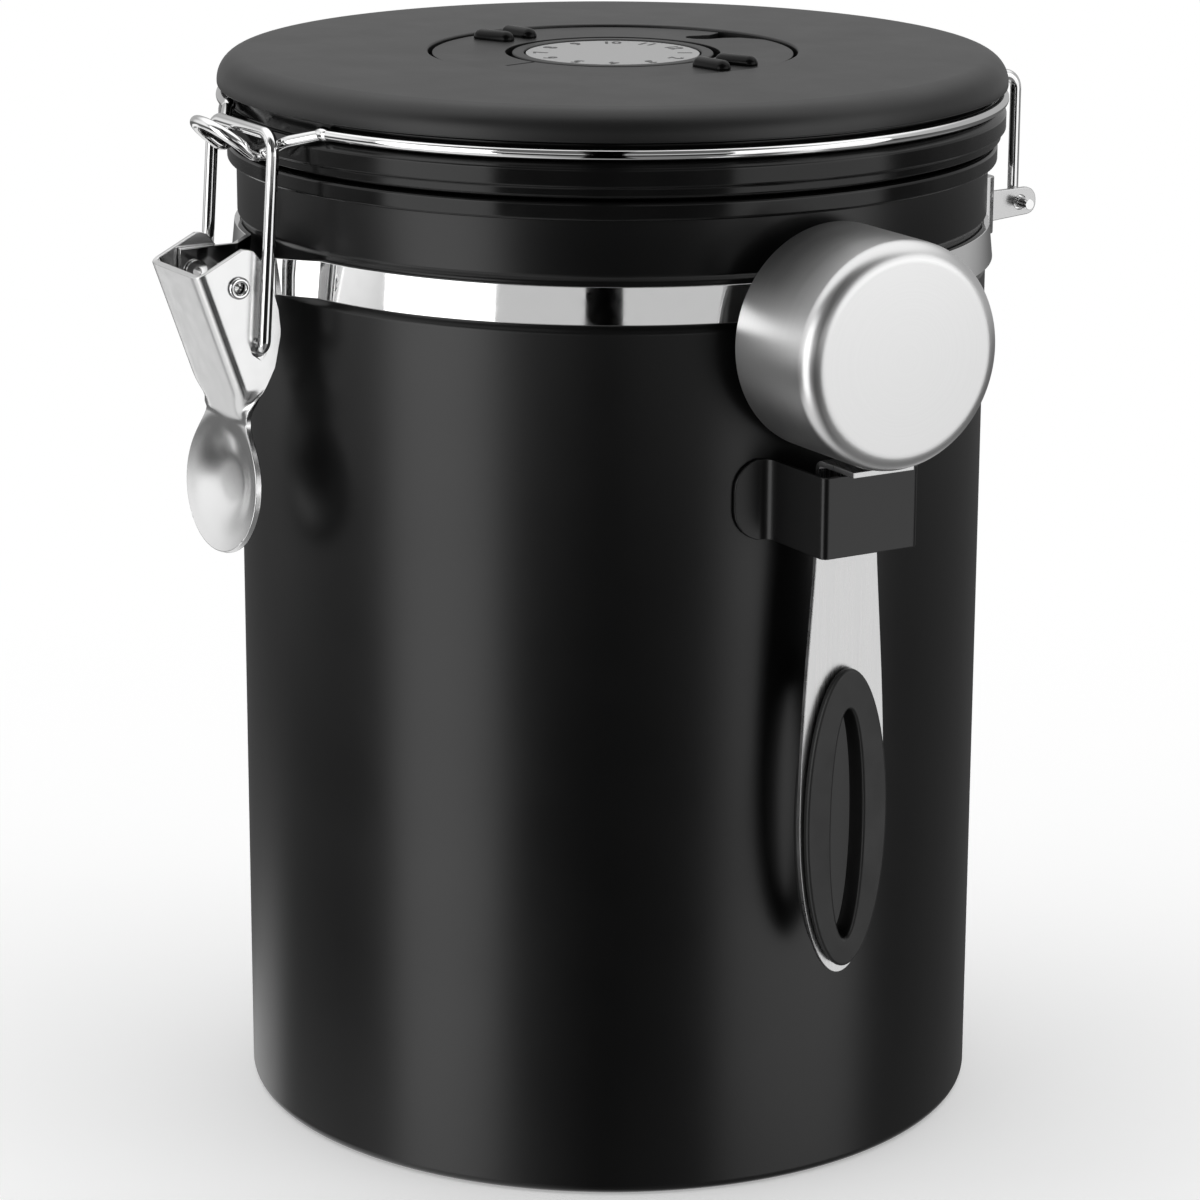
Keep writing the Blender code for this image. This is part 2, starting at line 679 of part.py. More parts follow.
def hinge_bracket(material, parts, cutters):
    """A pressed channel on the band with two ears for the lid wire's pins."""
    inner = BAND_RADIUS + GAP
    half_outer = BRACKET_HALF_WIDTH
    half_inner = half_outer - BRACKET_SHEET
    face = HINGE_OUT - BRACKET_SETBACK
    back = face - BRACKET_SHEET
    outer_root = math.sqrt(inner * inner - half_outer * half_outer)
    inner_root = math.sqrt(inner * inner - half_inner * half_inner)
    corners = [
        (half_outer, outer_root), (half_outer, face), (-half_outer, face), (-half_outer, outer_root),
        (-half_inner, inner_root), (-half_inner, back), (half_inner, back), (half_inner, inner_root),
    ]
    bend = BRACKET_CORNER
    radii = [0.0, bend, bend, 0.0, 0.0, bend - BRACKET_SHEET, bend - BRACKET_SHEET, 0.0]
    frame = frame_of((0.0, 0.0, BAND_MIDDLE), (1.0, 0.0, 0.0), (0.0, 1.0, 0.0))
    bracket = sheet("hinge_bracket", [rounded(corners, radii)], BRACKET_HEIGHT / 2.0, frame, material, parts)
    root = face - BRACKET_SHEET / 2.0 - HINGE_OUT
    half = HINGE_EAR_HEIGHT / 2.0
    ear = rounded([(root, -half), (HINGE_EAR_BEYOND, -half), (HINGE_EAR_BEYOND, half), (root, half)],
                  [0.0, HINGE_EAR_CORNER, HINGE_EAR_CORNER, 0.0])
    hole = circle((0.0, 0.0), LID_WIRE_RADIUS + GAP)
    for side in (1.0, -1.0):
        middle = side * (HINGE_EAR_SPACING + HINGE_EAR_SHEET / 2.0)
        place = frame_of(HINGE_AXIS + Vector((middle, 0.0, 0.0)), (0.0, 1.0, 0.0), (0.0, 0.0, 1.0))
        ear_sheet = sheet("hinge_ear", [ear, hole], HINGE_EAR_SHEET / 2.0, place, None, parts)
        join_into(bracket, ear_sheet, cutters)
    return bracket


def lid_cap(material, parts):
    """The moulded cap: rounded outside, with the dial's pocket in its top."""
    centre_out = LID_RADIUS - LID_ROUNDING
    centre_up = LID_TOP - LID_ROUNDING
    outside = arc(centre_out, centre_up, LID_ROUNDING, 90.0, 0.0, 5)
    inner_rounding = LID_ROUNDING - CAP_TOP_WALL
    skirt_inner = LID_RADIUS - CAP_WALL
    inner_out = skirt_inner - inner_rounding
    inside = arc(inner_out, centre_up, inner_rounding, 0.0, 90.0, 2)
    under_floor = POCKET_LEVEL - CAP_FLOOR
    pin_hole = DIAL_PIN_RADIUS + GAP
    pocket_back = POCKET_RADIUS + POCKET_WALL
    profile = [
        (pin_hole, POCKET_LEVEL),
        (POCKET_RADIUS, POCKET_LEVEL),
        (POCKET_RADIUS, LID_TOP - POCKET_CHAMFER),
        (POCKET_RADIUS + POCKET_CHAMFER, LID_TOP),
    ]
    profile += outside
    profile += [(LID_RADIUS, CAP_BOTTOM), (skirt_inner, CAP_BOTTOM)]
    profile += inside
    profile += [(pocket_back, centre_up + inner_rounding), (pocket_back, under_floor), (pin_hole, under_floor)]
    return turned("lid_cap", profile, material, parts)


def lid_base(material, parts):
    """The moulded underside: flange, neck for the wire, sealing plate and locating ring."""
    flange = LID_FLANGE_RADIUS
    chamfer = LID_FLANGE_CHAMFER
    spigot = LID_RADIUS - CAP_WALL - GAP
    spigot_inner = spigot - LID_SPIGOT_WALL
    neck_top = CAP_BOTTOM - GAP
    roof = LID_SEAT + GASKET_HEIGHT
    locator_inner = LOCATOR_RADIUS - LOCATOR_WALL
    plate_under = LID_PLATE_TOP - LID_PLATE
    rim_under = LID_SEAT + GAP
    profile = [
        (VALVE_HOLE_RADIUS, LID_PLATE_TOP),
        (spigot_inner, LID_PLATE_TOP),
        (spigot_inner, neck_top + LID_SPIGOT_RISE),
        (spigot, neck_top + LID_SPIGOT_RISE),
        (spigot, neck_top),
        (flange - WIRE_GROOVE_DEPTH, neck_top),
        (flange - WIRE_GROOVE_DEPTH, LID_FLANGE_TOP),
        (flange - chamfer, LID_FLANGE_TOP),
        (flange, LID_FLANGE_TOP - chamfer),
        (flange, LID_FLANGE_BOTTOM),
        (flange - LID_STEP, LID_FLANGE_BOTTOM - GAP),
        (flange - LID_STEP, rim_under),
        (GASKET_OUTER + GAP, rim_under),
        (GASKET_OUTER + GAP, roof + GAP),
        (GASKET_INNER - GAP, roof + GAP),
        (GASKET_INNER - GAP, rim_under),
        (LOCATOR_RADIUS, rim_under),
        (LOCATOR_RADIUS, COLLAR_TOP - LOCATOR_DEPTH),
        (locator_inner, COLLAR_TOP - LOCATOR_DEPTH),
        (locator_inner, plate_under),
        (VALVE_HOLE_RADIUS, plate_under),
    ]
    return turned("lid_base", profile, material, parts)


def lid_gasket(material, parts):
    """The silicone ring between the lid and the collar."""
    under = COLLAR_TOP + GAP
    top = under + GASKET_HEIGHT
    profile = [(GASKET_OUTER, top), (GASKET_OUTER, under), (GASKET_INNER, under), (GASKET_INNER, top)]
    return turned("lid_gasket", profile, material, parts)


def tongue_points():
    """Half of the tongue, from the ring to the nose, at the front of the lid wire."""
    half = TONGUE_HALF_WIDTH
    valley = BAIL_BAR.z - BAIL_WIRE_RADIUS - TONGUE_CLEARANCE - LID_WIRE_RADIUS
    shoulder = LID_WIRE_RING + TONGUE_SHOULDER
    bar_out = -BAIL_BAR.y
    drop = LID_WIRE_LEVEL - valley
    fall_shares = ((0.0, 0.0), (0.14, 0.55), (0.36, 0.92), (0.6, 1.0), (1.0, 1.0))
    points = []
    for out_share, drop_share in fall_shares:
        out = shoulder + (bar_out - shoulder) * out_share
        points.append(Vector((half, -out, LID_WIRE_LEVEL - drop * drop_share)))
    centre = bar_out + TONGUE_NOSE - half
    rise_from = bar_out + TONGUE_FLAT
    rise = TONGUE_NOSE_RISE / (TONGUE_NOSE - TONGUE_FLAT)
    nose_steps = 6
    for index in range(nose_steps + 1):
        angle = math.radians(90.0 * index / nose_steps)
        out = centre + half * math.sin(angle)
        points.append(Vector((half * math.cos(angle), -out, valley + max(0.0, out - rise_from) * rise)))
    return points


def lid_wire(material, parts):
    """One wire: hinge pin, leg, half ring, tongue, half ring, leg, hinge pin."""
    ring = LID_WIRE_RING
    spread = LID_WIRE_LEG_SPREAD
    rear = math.sqrt(ring * ring - spread * spread)
    clear_out = LID_FLANGE_RADIUS + LID_WIRE_RADIUS + GAP
    leg = [
        HINGE_AXIS + Vector((LID_WIRE_PIN_REACH, 0.0, 0.0)),
        HINGE_AXIS + Vector((spread, 0.0, 0.0)),
        Vector((spread, HINGE_OUT, LID_WIRE_LEVEL - LID_WIRE_LEG_FALL)),
        Vector((spread, clear_out, LID_WIRE_LEVEL)),
    ]
    half = rounded_path(leg, [LID_WIRE_PIN_CORNER, LID_WIRE_CORNER], 4)
    start = math.degrees(math.atan2(rear, spread))
    end = -90.0 + TONGUE_ROOT_ANGLE
    steps = 24
    for across, along in arc(0.0, 0.0, ring, start, end, steps):
        half.append(Vector((across, along, LID_WIRE_LEVEL)))
    half += tongue_points()
    other = [Vector((-point.x, point.y, point.z)) for point in reversed(half[:-1])]
    return wire("lid_wire", half + other, LID_WIRE_RADIUS, material, parts)


def dial_pin(material, parts):
    """The stud that both dial pieces turn on."""
    head_top = POCKET_LEVEL - CAP_FLOOR - GAP
    top = POCKET_LEVEL + DIAL_PIN_RISE
    profile = [
        (0.0, top),
        (DIAL_PIN_RADIUS, top),
        (DIAL_PIN_RADIUS, head_top),
        (DIAL_PIN_HEAD, head_top),
        (DIAL_PIN_HEAD, head_top - DIAL_PIN_HEAD_HEIGHT),
        (0.0, head_top - DIAL_PIN_HEAD_HEIGHT),
    ]
    return turned("dial_pin", profile, material, parts, closed=False, steps=PIN_STEPS)


def day_ring(material, parts, cutters):
    """The outer turning ring with two pairs of raised grip ribs."""
    under = POCKET_LEVEL + GAP
    top = under + DAY_RING_HEIGHT
    chamfer = DAY_RING_CHAMFER
    profile = [
        (DAY_RING_BORE + chamfer, top),
        (DAY_RING_RADIUS - chamfer, top),
        (DAY_RING_RADIUS, top - chamfer),
        (DAY_RING_RADIUS, under),
        (DAY_RING_BORE, under),
        (DAY_RING_BORE, top - chamfer),
    ]
    ring = turned("day_ring", profile, material, parts, steps=RING_STEPS)
    half_length = DAY_RIB_LENGTH / 2.0
    half_width = DAY_RIB_WIDTH / 2.0
    end = half_width * DAY_RIB_END_SHARE
    corners = [(-half_length, -half_width), (half_length, -half_width),
               (half_length, half_width), (-half_length, half_width)]
    outline = rounded(corners, [end] * 4, 2)
    rib_height = DAY_RIB_HEIGHT + chamfer
    for turn in (0.0, 180.0):
        for angle in DAY_RIB_ANGLES:
            direction = math.radians(angle + turn)
            out = Vector((math.cos(direction), math.sin(direction), 0.0))
            place = frame_of(out * (DAY_RING_BORE + DAY_RIB_INSET) + Vector((0.0, 0.0, top - chamfer + rib_height / 2.0)),
                             out, (-out.y, out.x, 0.0))
            rib = sheet("grip_rib", [outline], rib_height / 2.0, place, None, parts)
            join_into(ring, rib, cutters)
    return ring


def month_knob(material, parts):
    """The inner turning disc, with a raised bezel round its label."""
    under = POCKET_LEVEL + GAP
    top = under + MONTH_KNOB_HEIGHT
    face = top - MONTH_FACE_SUNK - MONTH_FACE_SHEET - GAP
    bezel = MONTH_KNOB_RADIUS - MONTH_BEZEL
    socket = DIAL_PIN_RADIUS + GAP
    roof = POCKET_LEVEL + DIAL_PIN_RISE + GAP
    chamfer = DAY_RING_CHAMFER
    profile = [
        (0.0, face),
        (bezel, face),
        (bezel, top),
        (MONTH_KNOB_RADIUS - chamfer, top),
        (MONTH_KNOB_RADIUS, top - chamfer),
        (MONTH_KNOB_RADIUS, under),
        (socket, under),
        (socket, roof),
        (0.0, roof),
    ]
    return turned("month_knob", profile, material, parts, closed=False, steps=48)


def month_face(material, parts):
    top = POCKET_LEVEL + GAP + MONTH_KNOB_HEIGHT - MONTH_FACE_SUNK
    radius = MONTH_KNOB_RADIUS - MONTH_BEZEL - GAP
    profile = [(0.0, top), (radius, top), (radius, top - MONTH_FACE_SHEET), (0.0, top - MONTH_FACE_SHEET)]
    return turned("month_face", profile, material, parts, closed=False, steps=48)


def valve_body(material, parts):
    """The cup that drops into the lid's centre hole and holds the flap's seat."""
    outer = VALVE_HOLE_RADIUS - GAP
    inner = outer - VALVE_WALL
    shoulder = LID_PLATE_TOP + GAP
    bottom = shoulder - VALVE_DEPTH
    profile = [
        (VALVE_FLANGE_RADIUS, shoulder + VALVE_FLANGE),
        (VALVE_FLANGE_RADIUS, shoulder),
        (outer, shoulder),
        (outer, bottom),
        (VALVE_SEAT_BORE, bottom),
        (VALVE_SEAT_BORE, bottom + VALVE_WALL),
        (inner, bottom + VALVE_WALL),
        (inner, shoulder + VALVE_FLANGE),
    ]
    return turned("valve_body", profile, material, parts, steps=SMALL_STEPS)


def valve_flap(material, parts):
    under = LID_PLATE_TOP + GAP - VALVE_DEPTH + VALVE_WALL + GAP
    top = under + VALVE_FLAP_SHEET
    profile = [(0.0, top), (VALVE_FLAP_RADIUS, top), (VALVE_FLAP_RADIUS, under), (0.0, under)]
    return turned("valve_flap", profile, material, parts, closed=False, steps=SMALL_STEPS)


def valve_cap(material, parts):
    """The vented disc that keeps the flap on its seat, with a stub down to the flap."""
    top = LID_PLATE_TOP + GAP + VALVE_FLANGE
    under = top - VALVE_CAP_SHEET
    outer = VALVE_HOLE_RADIUS - GAP - VALVE_WALL - GAP
    flap_top = LID_PLATE_TOP + GAP - VALVE_DEPTH + VALVE_WALL + GAP + VALVE_FLAP_SHEET
    stub = VALVE_CAP_VENT + VALVE_WALL
    profile = [
        (VALVE_CAP_VENT, top),
        (outer, top),
        (outer, under),
        (stub, under),
        (stub, flap_top + GAP),
        (VALVE_CAP_VENT, flap_top + GAP),
    ]
    return turned("valve_cap", profile, material, parts, steps=SMALL_STEPS)


def scoop_clip(material, parts, cutters):
    """A folded sleeve: two wings on the jar, two sides and a front."""
    sheet_in = BODY_RADIUS + GAP
    sheet_out = sheet_in + CLIP_SHEET
    half = CLIP_HALF_WIDTH
    inner_half = half - CLIP_SHEET
    front = CLIP_FRONT_OUT
    blank_angle = math.degrees(math.asin((CLIP_WING_HALF_WIDTH + OVERRUN) / sheet_in))
    side_angle = math.degrees(math.asin(half / sheet_out))
    inner_angle = math.degrees(math.asin(inner_half / sheet_in))
    outer_wing = arc(0.0, 0.0, sheet_out, blank_angle, side_angle, 4)
    inner_wing = arc(0.0, 0.0, sheet_in, inner_angle, blank_angle, 4)
    outer_front = rounded_path([outer_wing[-1], (front, half), (front, 0.0)], [CLIP_SHEET], 2)[1:-1]
    inner_front = rounded_path([(front - CLIP_SHEET, 0.0), (front - CLIP_SHEET, inner_half), inner_wing[0]],
                               [CLIP_SHEET / 2.0], 2)[1:-1]
    upper = outer_wing + [tuple(point) for point in outer_front]
    inside = [tuple(point) for point in inner_front] + inner_wing
    lower = [(across, -along) for across, along in reversed(upper)]
    inside_lower = [(across, -along) for across, along in reversed(inside)]
    middle = CLIP_TOP - CLIP_HEIGHT / 2.0
    frame = frame_of((0.0, 0.0, middle), (1.0, 0.0, 0.0), (0.0, 1.0, 0.0))
    clip = sheet("scoop_clip", [upper + lower + inside_lower + inside], CLIP_HEIGHT / 2.0 + OVERRUN,
                 frame, material, parts)
    wing = CLIP_WING_HALF_WIDTH
    half_height = CLIP_HEIGHT / 2.0
    corners = [(-wing, -half_height), (wing, -half_height), (wing, half_height), (-wing, half_height)]
    place = frame_of((BODY_RADIUS, 0.0, middle), (0.0, 1.0, 0.0), (0.0, 0.0, 1.0))
    trim = sheet("clip_outline", [rounded(corners, [CLIP_WING_CORNER] * 4, 5)],
                 CLIP_FRONT_OUT - BODY_RADIUS + OVERRUN, place, None, cutters)
    trim.hide_render = True
    trim.display_type = "WIRE"
    boolean(clip, trim, "INTERSECT")
    return clip


def scoop_cup(material, parts):
    """The measuring cup, its axis along X and its mouth towards the jar."""
    radius = CUP_RADIUS
    inner = radius - CUP_WALL
    rounding = CUP_ROUNDING
    outer_turn = arc(radius - rounding, rounding, rounding, 0.0, -90.0, 3)
    inner_turn = arc(radius - rounding, rounding, rounding - CUP_WALL, -90.0, 0.0, 3)
    profile = [(radius, CUP_DEPTH)] + outer_turn + [(0.0, 0.0), (0.0, CUP_WALL)] + inner_turn
    profile += [(inner, CUP_DEPTH)]
    work = profile[outer_end(profile):] + profile[:outer_end(profile)]
    cup = turned("scoop_cup", work, material, parts, closed=False, steps=SMALL_STEPS)
    mesh = evaluated_mesh(cup, "scoop_cup")
    bpy.data.objects.remove(cup, do_unlink=True)
    place = Matrix.Translation((CUP_MOUTH_OUT + CUP_DEPTH, 0.0, CUP_MIDDLE)) @ Matrix.Rotation(-math.pi / 2.0, 4, "Y")
    mesh.transform(place)
    cup = add_object("scoop_cup", mesh, None, parts)
    shade_round(cup)
    return cup


def outer_end(profile):
    """Where the profile starts again on the axis, inside the cup."""
    return next(index for index, point in enumerate(profile) if point[0] == 0.0) + 1


def strip_outline():
    """The handle in (Y, Z): narrow at the cup, wide at the grip, with a rounded end."""
    top_edge = CLIP_TOP + GAP + STRIP_SHEET / 2.0
    top = STRIP_TOP_HALF_WIDTH
    wide = STRIP_WIDE_HALF_WIDTH
    side = [(top, top_edge), (top, CLIP_BOTTOM)]
    side += [(top + (wide - top) * share, CLIP_BOTTOM + (STRIP_WIDE_UP - CLIP_BOTTOM) * fall)
             for share, fall in STRIP_TAPER_SHARES]
    depth = STRIP_WIDE_UP - STRIP_END
    steps = 8
    for index in range(steps):
        angle = math.radians(90.0 * index / steps)
        side.append((wide * math.cos(angle), STRIP_WIDE_UP - depth * math.sin(angle)))
    return side + [(0.0, STRIP_END)] + mirrored(side)


def oval(half_width, top, bottom, steps=24):
    """An oval that is widest half way down."""
    middle = (top + bottom) / 2.0
    half_height = (top - bottom) / 2.0
    points = []
    for index in range(steps):
        angle = math.tau * index / steps
        points.append((half_width * math.cos(angle), middle + half_height * math.sin(angle)))
    return points


def scoop_handle(material, parts, cutters):
    frame = frame_of((STRIP_OUT, 0.0, 0.0), (0.0, 1.0, 0.0), (0.0, 0.0, 1.0))
    opening = GRIP_SLEEVE_WALL + GAP
    slot = oval(GRIP_SLOT_HALF_WIDTH + opening, GRIP_SLOT_TOP + opening, GRIP_SLOT_BOTTOM - opening)
    handle = sheet("scoop_handle", [strip_outline(), slot], STRIP_SHEET / 2.0, frame, material, parts)
    under = CLIP_TOP + GAP
    flange = [
        (STRIP_OUT - STRIP_SHEET / 2.0, -STRIP_TOP_HALF_WIDTH),
        (STRIP_OUT + STRIP_FLANGE, -STRIP_TOP_HALF_WIDTH),
        (STRIP_OUT + STRIP_FLANGE, STRIP_TOP_HALF_WIDTH),
        (STRIP_OUT - STRIP_SHEET / 2.0, STRIP_TOP_HALF_WIDTH),
    ]
    place = frame_of((0.0, 0.0, under + STRIP_SHEET / 2.0), (1.0, 0.0, 0.0), (0.0, 1.0, 0.0))
    foot = sheet("handle_flange", [flange], STRIP_SHEET / 2.0, place, None, parts)
    join_into(handle, foot, cutters)
    return handle


def scoop_grip(material, parts, cutters):
    """The soft grip: a pad on each face of the strip, joined by a sleeve through its slot."""
    slot = oval(GRIP_SLOT_HALF_WIDTH, GRIP_SLOT_TOP, GRIP_SLOT_BOTTOM)
    sleeve = oval(GRIP_SLOT_HALF_WIDTH + GRIP_SLEEVE_WALL, GRIP_SLOT_TOP + GRIP_SLEEVE_WALL,
                  GRIP_SLOT_BOTTOM - GRIP_SLEEVE_WALL)
    pad = oval(GRIP_HALF_WIDTH, GRIP_TOP, GRIP_BOTTOM, 32)
    offset = STRIP_SHEET / 2.0 + GAP
    half = GRIP_PROUD / 2.0
    front_place = frame_of((STRIP_OUT + offset + half, 0.0, 0.0), (0.0, 1.0, 0.0), (0.0, 0.0, 1.0))
    back_place = frame_of((STRIP_OUT - offset - half, 0.0, 0.0), (0.0, 1.0, 0.0), (0.0, 0.0, 1.0))
    middle_place = frame_of((STRIP_OUT, 0.0, 0.0), (0.0, 1.0, 0.0), (0.0, 0.0, 1.0))
    grip = sheet("scoop_grip", [pad, slot], half, front_place, material, parts)
    join_into(grip, sheet("grip_back", [pad, slot], half, back_place, None, parts), cutters)
    join_into(grip, sheet("grip_sleeve", [sleeve, slot], offset + half, middle_place, None, parts), cutters)
    return grip


def main():
    clear_scene()
    parts = make_collection("coffee_canister")
    cutters = make_collection("guides")
    powder_coat = make_material("black_powder_coat", (0.012, 0.012, 0.013), 0.0, 0.45)
    matte_plastic = make_material("matte_black_plastic", (0.016, 0.016, 0.017), 0.0, 0.5)
    gloss_plastic = make_material("gloss_black_plastic", (0.010, 0.010, 0.010), 0.0, 0.16)
    chrome = make_material("polished_steel", (0.80, 0.80, 0.80), 1.0, 0.06)
    brushed = make_material("brushed_steel", (0.66, 0.66, 0.65), 1.0, 0.3)
    silicone = make_material("dark_silicone", (0.03, 0.03, 0.03), 0.0, 0.6)
    silver = make_material("silver_label", (0.74, 0.74, 0.74), 0.6, 0.35)
    plain_steel = make_material("plain_steel", (0.55, 0.55, 0.55), 1.0, 0.35)
    body_shell(powder_coat, parts)
    base_disc(plain_steel, parts)
    rim_collar(gloss_plastic, parts)
    neck_band(chrome, parts, cutters)
    lever_eyelet("lever_eyelet_right", 1.0, chrome, parts)
    lever_eyelet("lever_eyelet_left", -1.0, chrome, parts)
    latch_lever(chrome, parts, cutters)
    bail_wire(chrome, parts)
    hinge_bracket(chrome, parts, cutters)
    lid_cap(matte_plastic, parts)
    lid_base(gloss_plastic, parts)
    lid_gasket(silicone, parts)
    lid_wire(chrome, parts)
    valve_body(gloss_plastic, parts)
    valve_flap(silicone, parts)
    valve_cap(gloss_plastic, parts)
    dial_pin(matte_plastic, parts)
    day_ring(gloss_plastic, parts, cutters)
    month_knob(gloss_plastic, parts)
    month_face(silver, parts)
    scoop_clip(powder_coat, parts, cutters)
    scoop_cup(brushed, parts)
    scoop_handle(brushed, parts, cutters)
    scoop_grip(silicone, parts, cutters)


main()
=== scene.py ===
# %% [markdown]
# # A coffee canister, dressed for its picture
#
# The canister is a black steel jar with a hinged lid. A chrome wire runs round the lid and is
# pulled down by a lever at the front, a dial on top keeps the date, and a steel scoop hangs in
# a clip on the side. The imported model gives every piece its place, and this script builds each
# visible piece again with fine edges and a real finish.
#
# The jar stands at the origin with +Z up. The latch faces -Y, the hinge faces +Y and the
# scoop hangs on the +X side. Lengths are in metres.

# %% The frame
import math

import bmesh
import bpy
from mathutils import Matrix, Vector


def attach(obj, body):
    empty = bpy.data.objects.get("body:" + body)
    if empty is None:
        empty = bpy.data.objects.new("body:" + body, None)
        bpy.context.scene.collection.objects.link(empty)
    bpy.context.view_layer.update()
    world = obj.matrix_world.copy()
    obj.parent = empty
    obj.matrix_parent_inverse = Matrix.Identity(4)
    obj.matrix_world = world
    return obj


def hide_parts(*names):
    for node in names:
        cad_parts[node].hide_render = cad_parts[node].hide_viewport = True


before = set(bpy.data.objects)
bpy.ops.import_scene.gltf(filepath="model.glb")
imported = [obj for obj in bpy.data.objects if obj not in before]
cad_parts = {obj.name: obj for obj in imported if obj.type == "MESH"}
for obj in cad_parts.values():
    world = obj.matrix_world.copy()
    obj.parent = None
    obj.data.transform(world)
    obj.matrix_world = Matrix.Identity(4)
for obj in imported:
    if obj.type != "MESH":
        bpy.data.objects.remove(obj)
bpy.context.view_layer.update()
X_AXIS = Vector((1.0, 0.0, 0.0))
Y_AXIS = Vector((0.0, 1.0, 0.0))
Z_AXIS = Vector((0.0, 0.0, 1.0))
print("CAD nodes:", len(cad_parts))

# %% [markdown]
# ## Settling a piece
#
# Every piece ends the same way: doubles are merged, the faces are turned outwards, and the
# mesh becomes an object that rides on a body and stands for one CAD node. A small bevel on
# each hard edge catches the light as a real pressed or moulded edge does. The bevel is a
# modifier, so the mesh beneath stays simple.

# %% Settle a piece
MERGE = 1e-7


def settle(name, bm, finish, body, node, edge=0.0, sharp=35.0, segments=2):
    """An edge of more than sharp degrees stays hard, and its bevel is edge wide."""
    bmesh.ops.remove_doubles(bm, verts=bm.verts, dist=MERGE)
    bmesh.ops.recalc_face_normals(bm, faces=bm.faces)
    mesh = bpy.data.meshes.new(name)
    bm.to_mesh(mesh)
    bm.free()
    mesh.materials.append(finish)
    mesh.shade_smooth()
    mesh.set_sharp_from_angle(angle=math.radians(sharp))
    piece = bpy.data.objects.new(name, mesh)
    bpy.context.scene.collection.objects.link(piece)
    if edge:
        bevel = piece.modifiers.new("Edge", "BEVEL")
        bevel.width = edge
        bevel.segments = segments
        bevel.limit_method = "ANGLE"
        bevel.angle_limit = math.radians(sharp)
        bevel.use_clamp_overlap = False
        bevel.harden_normals = True
    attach(piece, body)
    if node:
        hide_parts(node)
    print(name, "faces:", len(mesh.polygons))
    return piece


# %% [markdown]
# ## Turned pieces
#
# The jar, the collar and the lid are round, so each is a profile spun about an axis, as on a
# lathe. `bmesh.ops.spin` with `use_merge` closes the full turn without a seam. A profile is a
# short list of (radius, height) points, and `arc` adds the rounded places.

# %% Spin a profile
ROUND_STEPS = 192
SMALL_ROUND_STEPS = 64


def arc(out, up, radius, start, end, steps):
    """Points round a centre, from one angle in degrees to another."""
    points = []
    for index in range(steps + 1):
        angle = math.radians(start + (end - start) * index / steps)
        points.append((out + radius * math.cos(angle), up + radius * math.sin(angle)))
    return points


def spin_profile(profile, steps=ROUND_STEPS, closed=True):
    """A profile that isn't closed starts and ends on the axis."""
    bm = bmesh.new()
    verts = [bm.verts.new((radius, 0.0, height)) for radius, height in profile]
    edges = [bm.edges.new(pair) for pair in zip(verts, verts[1:])]
    if closed:
        edges.append(bm.edges.new((verts[-1], verts[0])))
    bmesh.ops.spin(bm, geom=verts + edges, cent=(0.0, 0.0, 0.0), axis=Z_AXIS, angle=math.tau,
                   steps=steps, use_merge=True)
    bmesh.ops.remove_doubles(bm, verts=bm.verts, dist=MERGE)
    return bm


# %% [markdown]
# ## Bent stock
#
# The lid wire, the bail, the strap round the neck and the scoop's clip are all bent from wire
# or strip. A bar is fed out along a line and bent round a centre, as in a bending machine: the
# end face is extruded for a straight length and spun for a bend. That keeps the section true
# in every bend, where a swept curve can pinch it. Both operators keep the face that the new
# length grows from. It would be a stray face inside the bar, so it is deleted.

# %% A bending machine
BEND_STEP = 9.0
FEWEST_STEPS = 3


class Bar:
    """Stock fed from a start point; section draws its end face."""

    def __init__(self, start, heading, section):
        self.bm = bmesh.new()
        self.place = Vector(start)
        self.heading = Vector(heading).normalized()
        turn = self.heading.to_track_quat("Z", "Y").to_matrix().to_4x4()
        section(self.bm, Matrix.Translation(self.place) @ turn)
        self.bm.faces.ensure_lookup_table()
        self.end = self.bm.faces[0]
        self.cap = self.end

    def move_end(self, made):
        """Takes the new end face. The face it grew from is inside the bar now, so it goes."""
        grown_from = self.end
        self.end = [item for item in made if isinstance(item, bmesh.types.BMFace)][0]
        if grown_from.is_valid and grown_from != self.cap:
            bmesh.ops.delete(self.bm, geom=[grown_from], context="FACES_ONLY")

    def feed(self, length):
        step = self.heading * length
        self.move_end(bmesh.ops.extrude_face_region(self.bm, geom=[self.end])["geom"])
        bmesh.ops.translate(self.bm, vec=step, verts=self.end.verts)
        self.place = self.place + step

    def bend(self, centre, axis, angle, steps):
        self.move_end(bmesh.ops.spin(self.bm, geom=[self.end], cent=centre, axis=axis, angle=angle,
                                     steps=steps)["geom_last"])
        turn = Matrix.Rotation(angle, 3, axis)
        self.place = Vector(centre) + turn @ (self.place - Vector(centre))
        self.heading = turn @ self.heading

    def follow(self, corners, radii):
        """Feeds along straight lines to the last corner, with a bend at each one before it."""
        for index, corner in enumerate(corners):
            corner = Vector(corner)
            if index == len(corners) - 1:
                self.feed((corner - self.place).length)
                return
            onward = (Vector(corners[index + 1]) - corner).normalized()
            angle = self.heading.angle(onward)
            reach = radii[index] * math.tan(angle / 2.0)
            self.feed((corner - self.place).length - reach)
            axis = self.heading.cross(onward).normalized()
            centre = self.place + axis.cross(self.heading) * radii[index]
            self.bend(centre, axis, angle, max(FEWEST_STEPS, round(math.degrees(angle) / BEND_STEP)))


# %% [markdown]
# Wire starts from a round face and strip from an oblong one. A bent piece whose two halves
# match is bent once, from the middle to one end or from one end to the middle. The caps on the
# mirror plane are opened, and the mirror operator adds the other half.

# %% Sections and halves
ON_PLANE = 1e-6
MIRROR_MERGE = 1e-5


def round_section(radius, segments=20):
    def make(bm, place):
        bmesh.ops.create_circle(bm, cap_ends=True, radius=radius, segments=segments, matrix=place)
    return make


def strip_section(thickness, height):
    def make(bm, place):
        turned = place @ Matrix.Diagonal((thickness, height, 1.0, 1.0))
        bmesh.ops.create_grid(bm, x_segments=1, y_segments=1, size=0.5, matrix=turned)
    return make


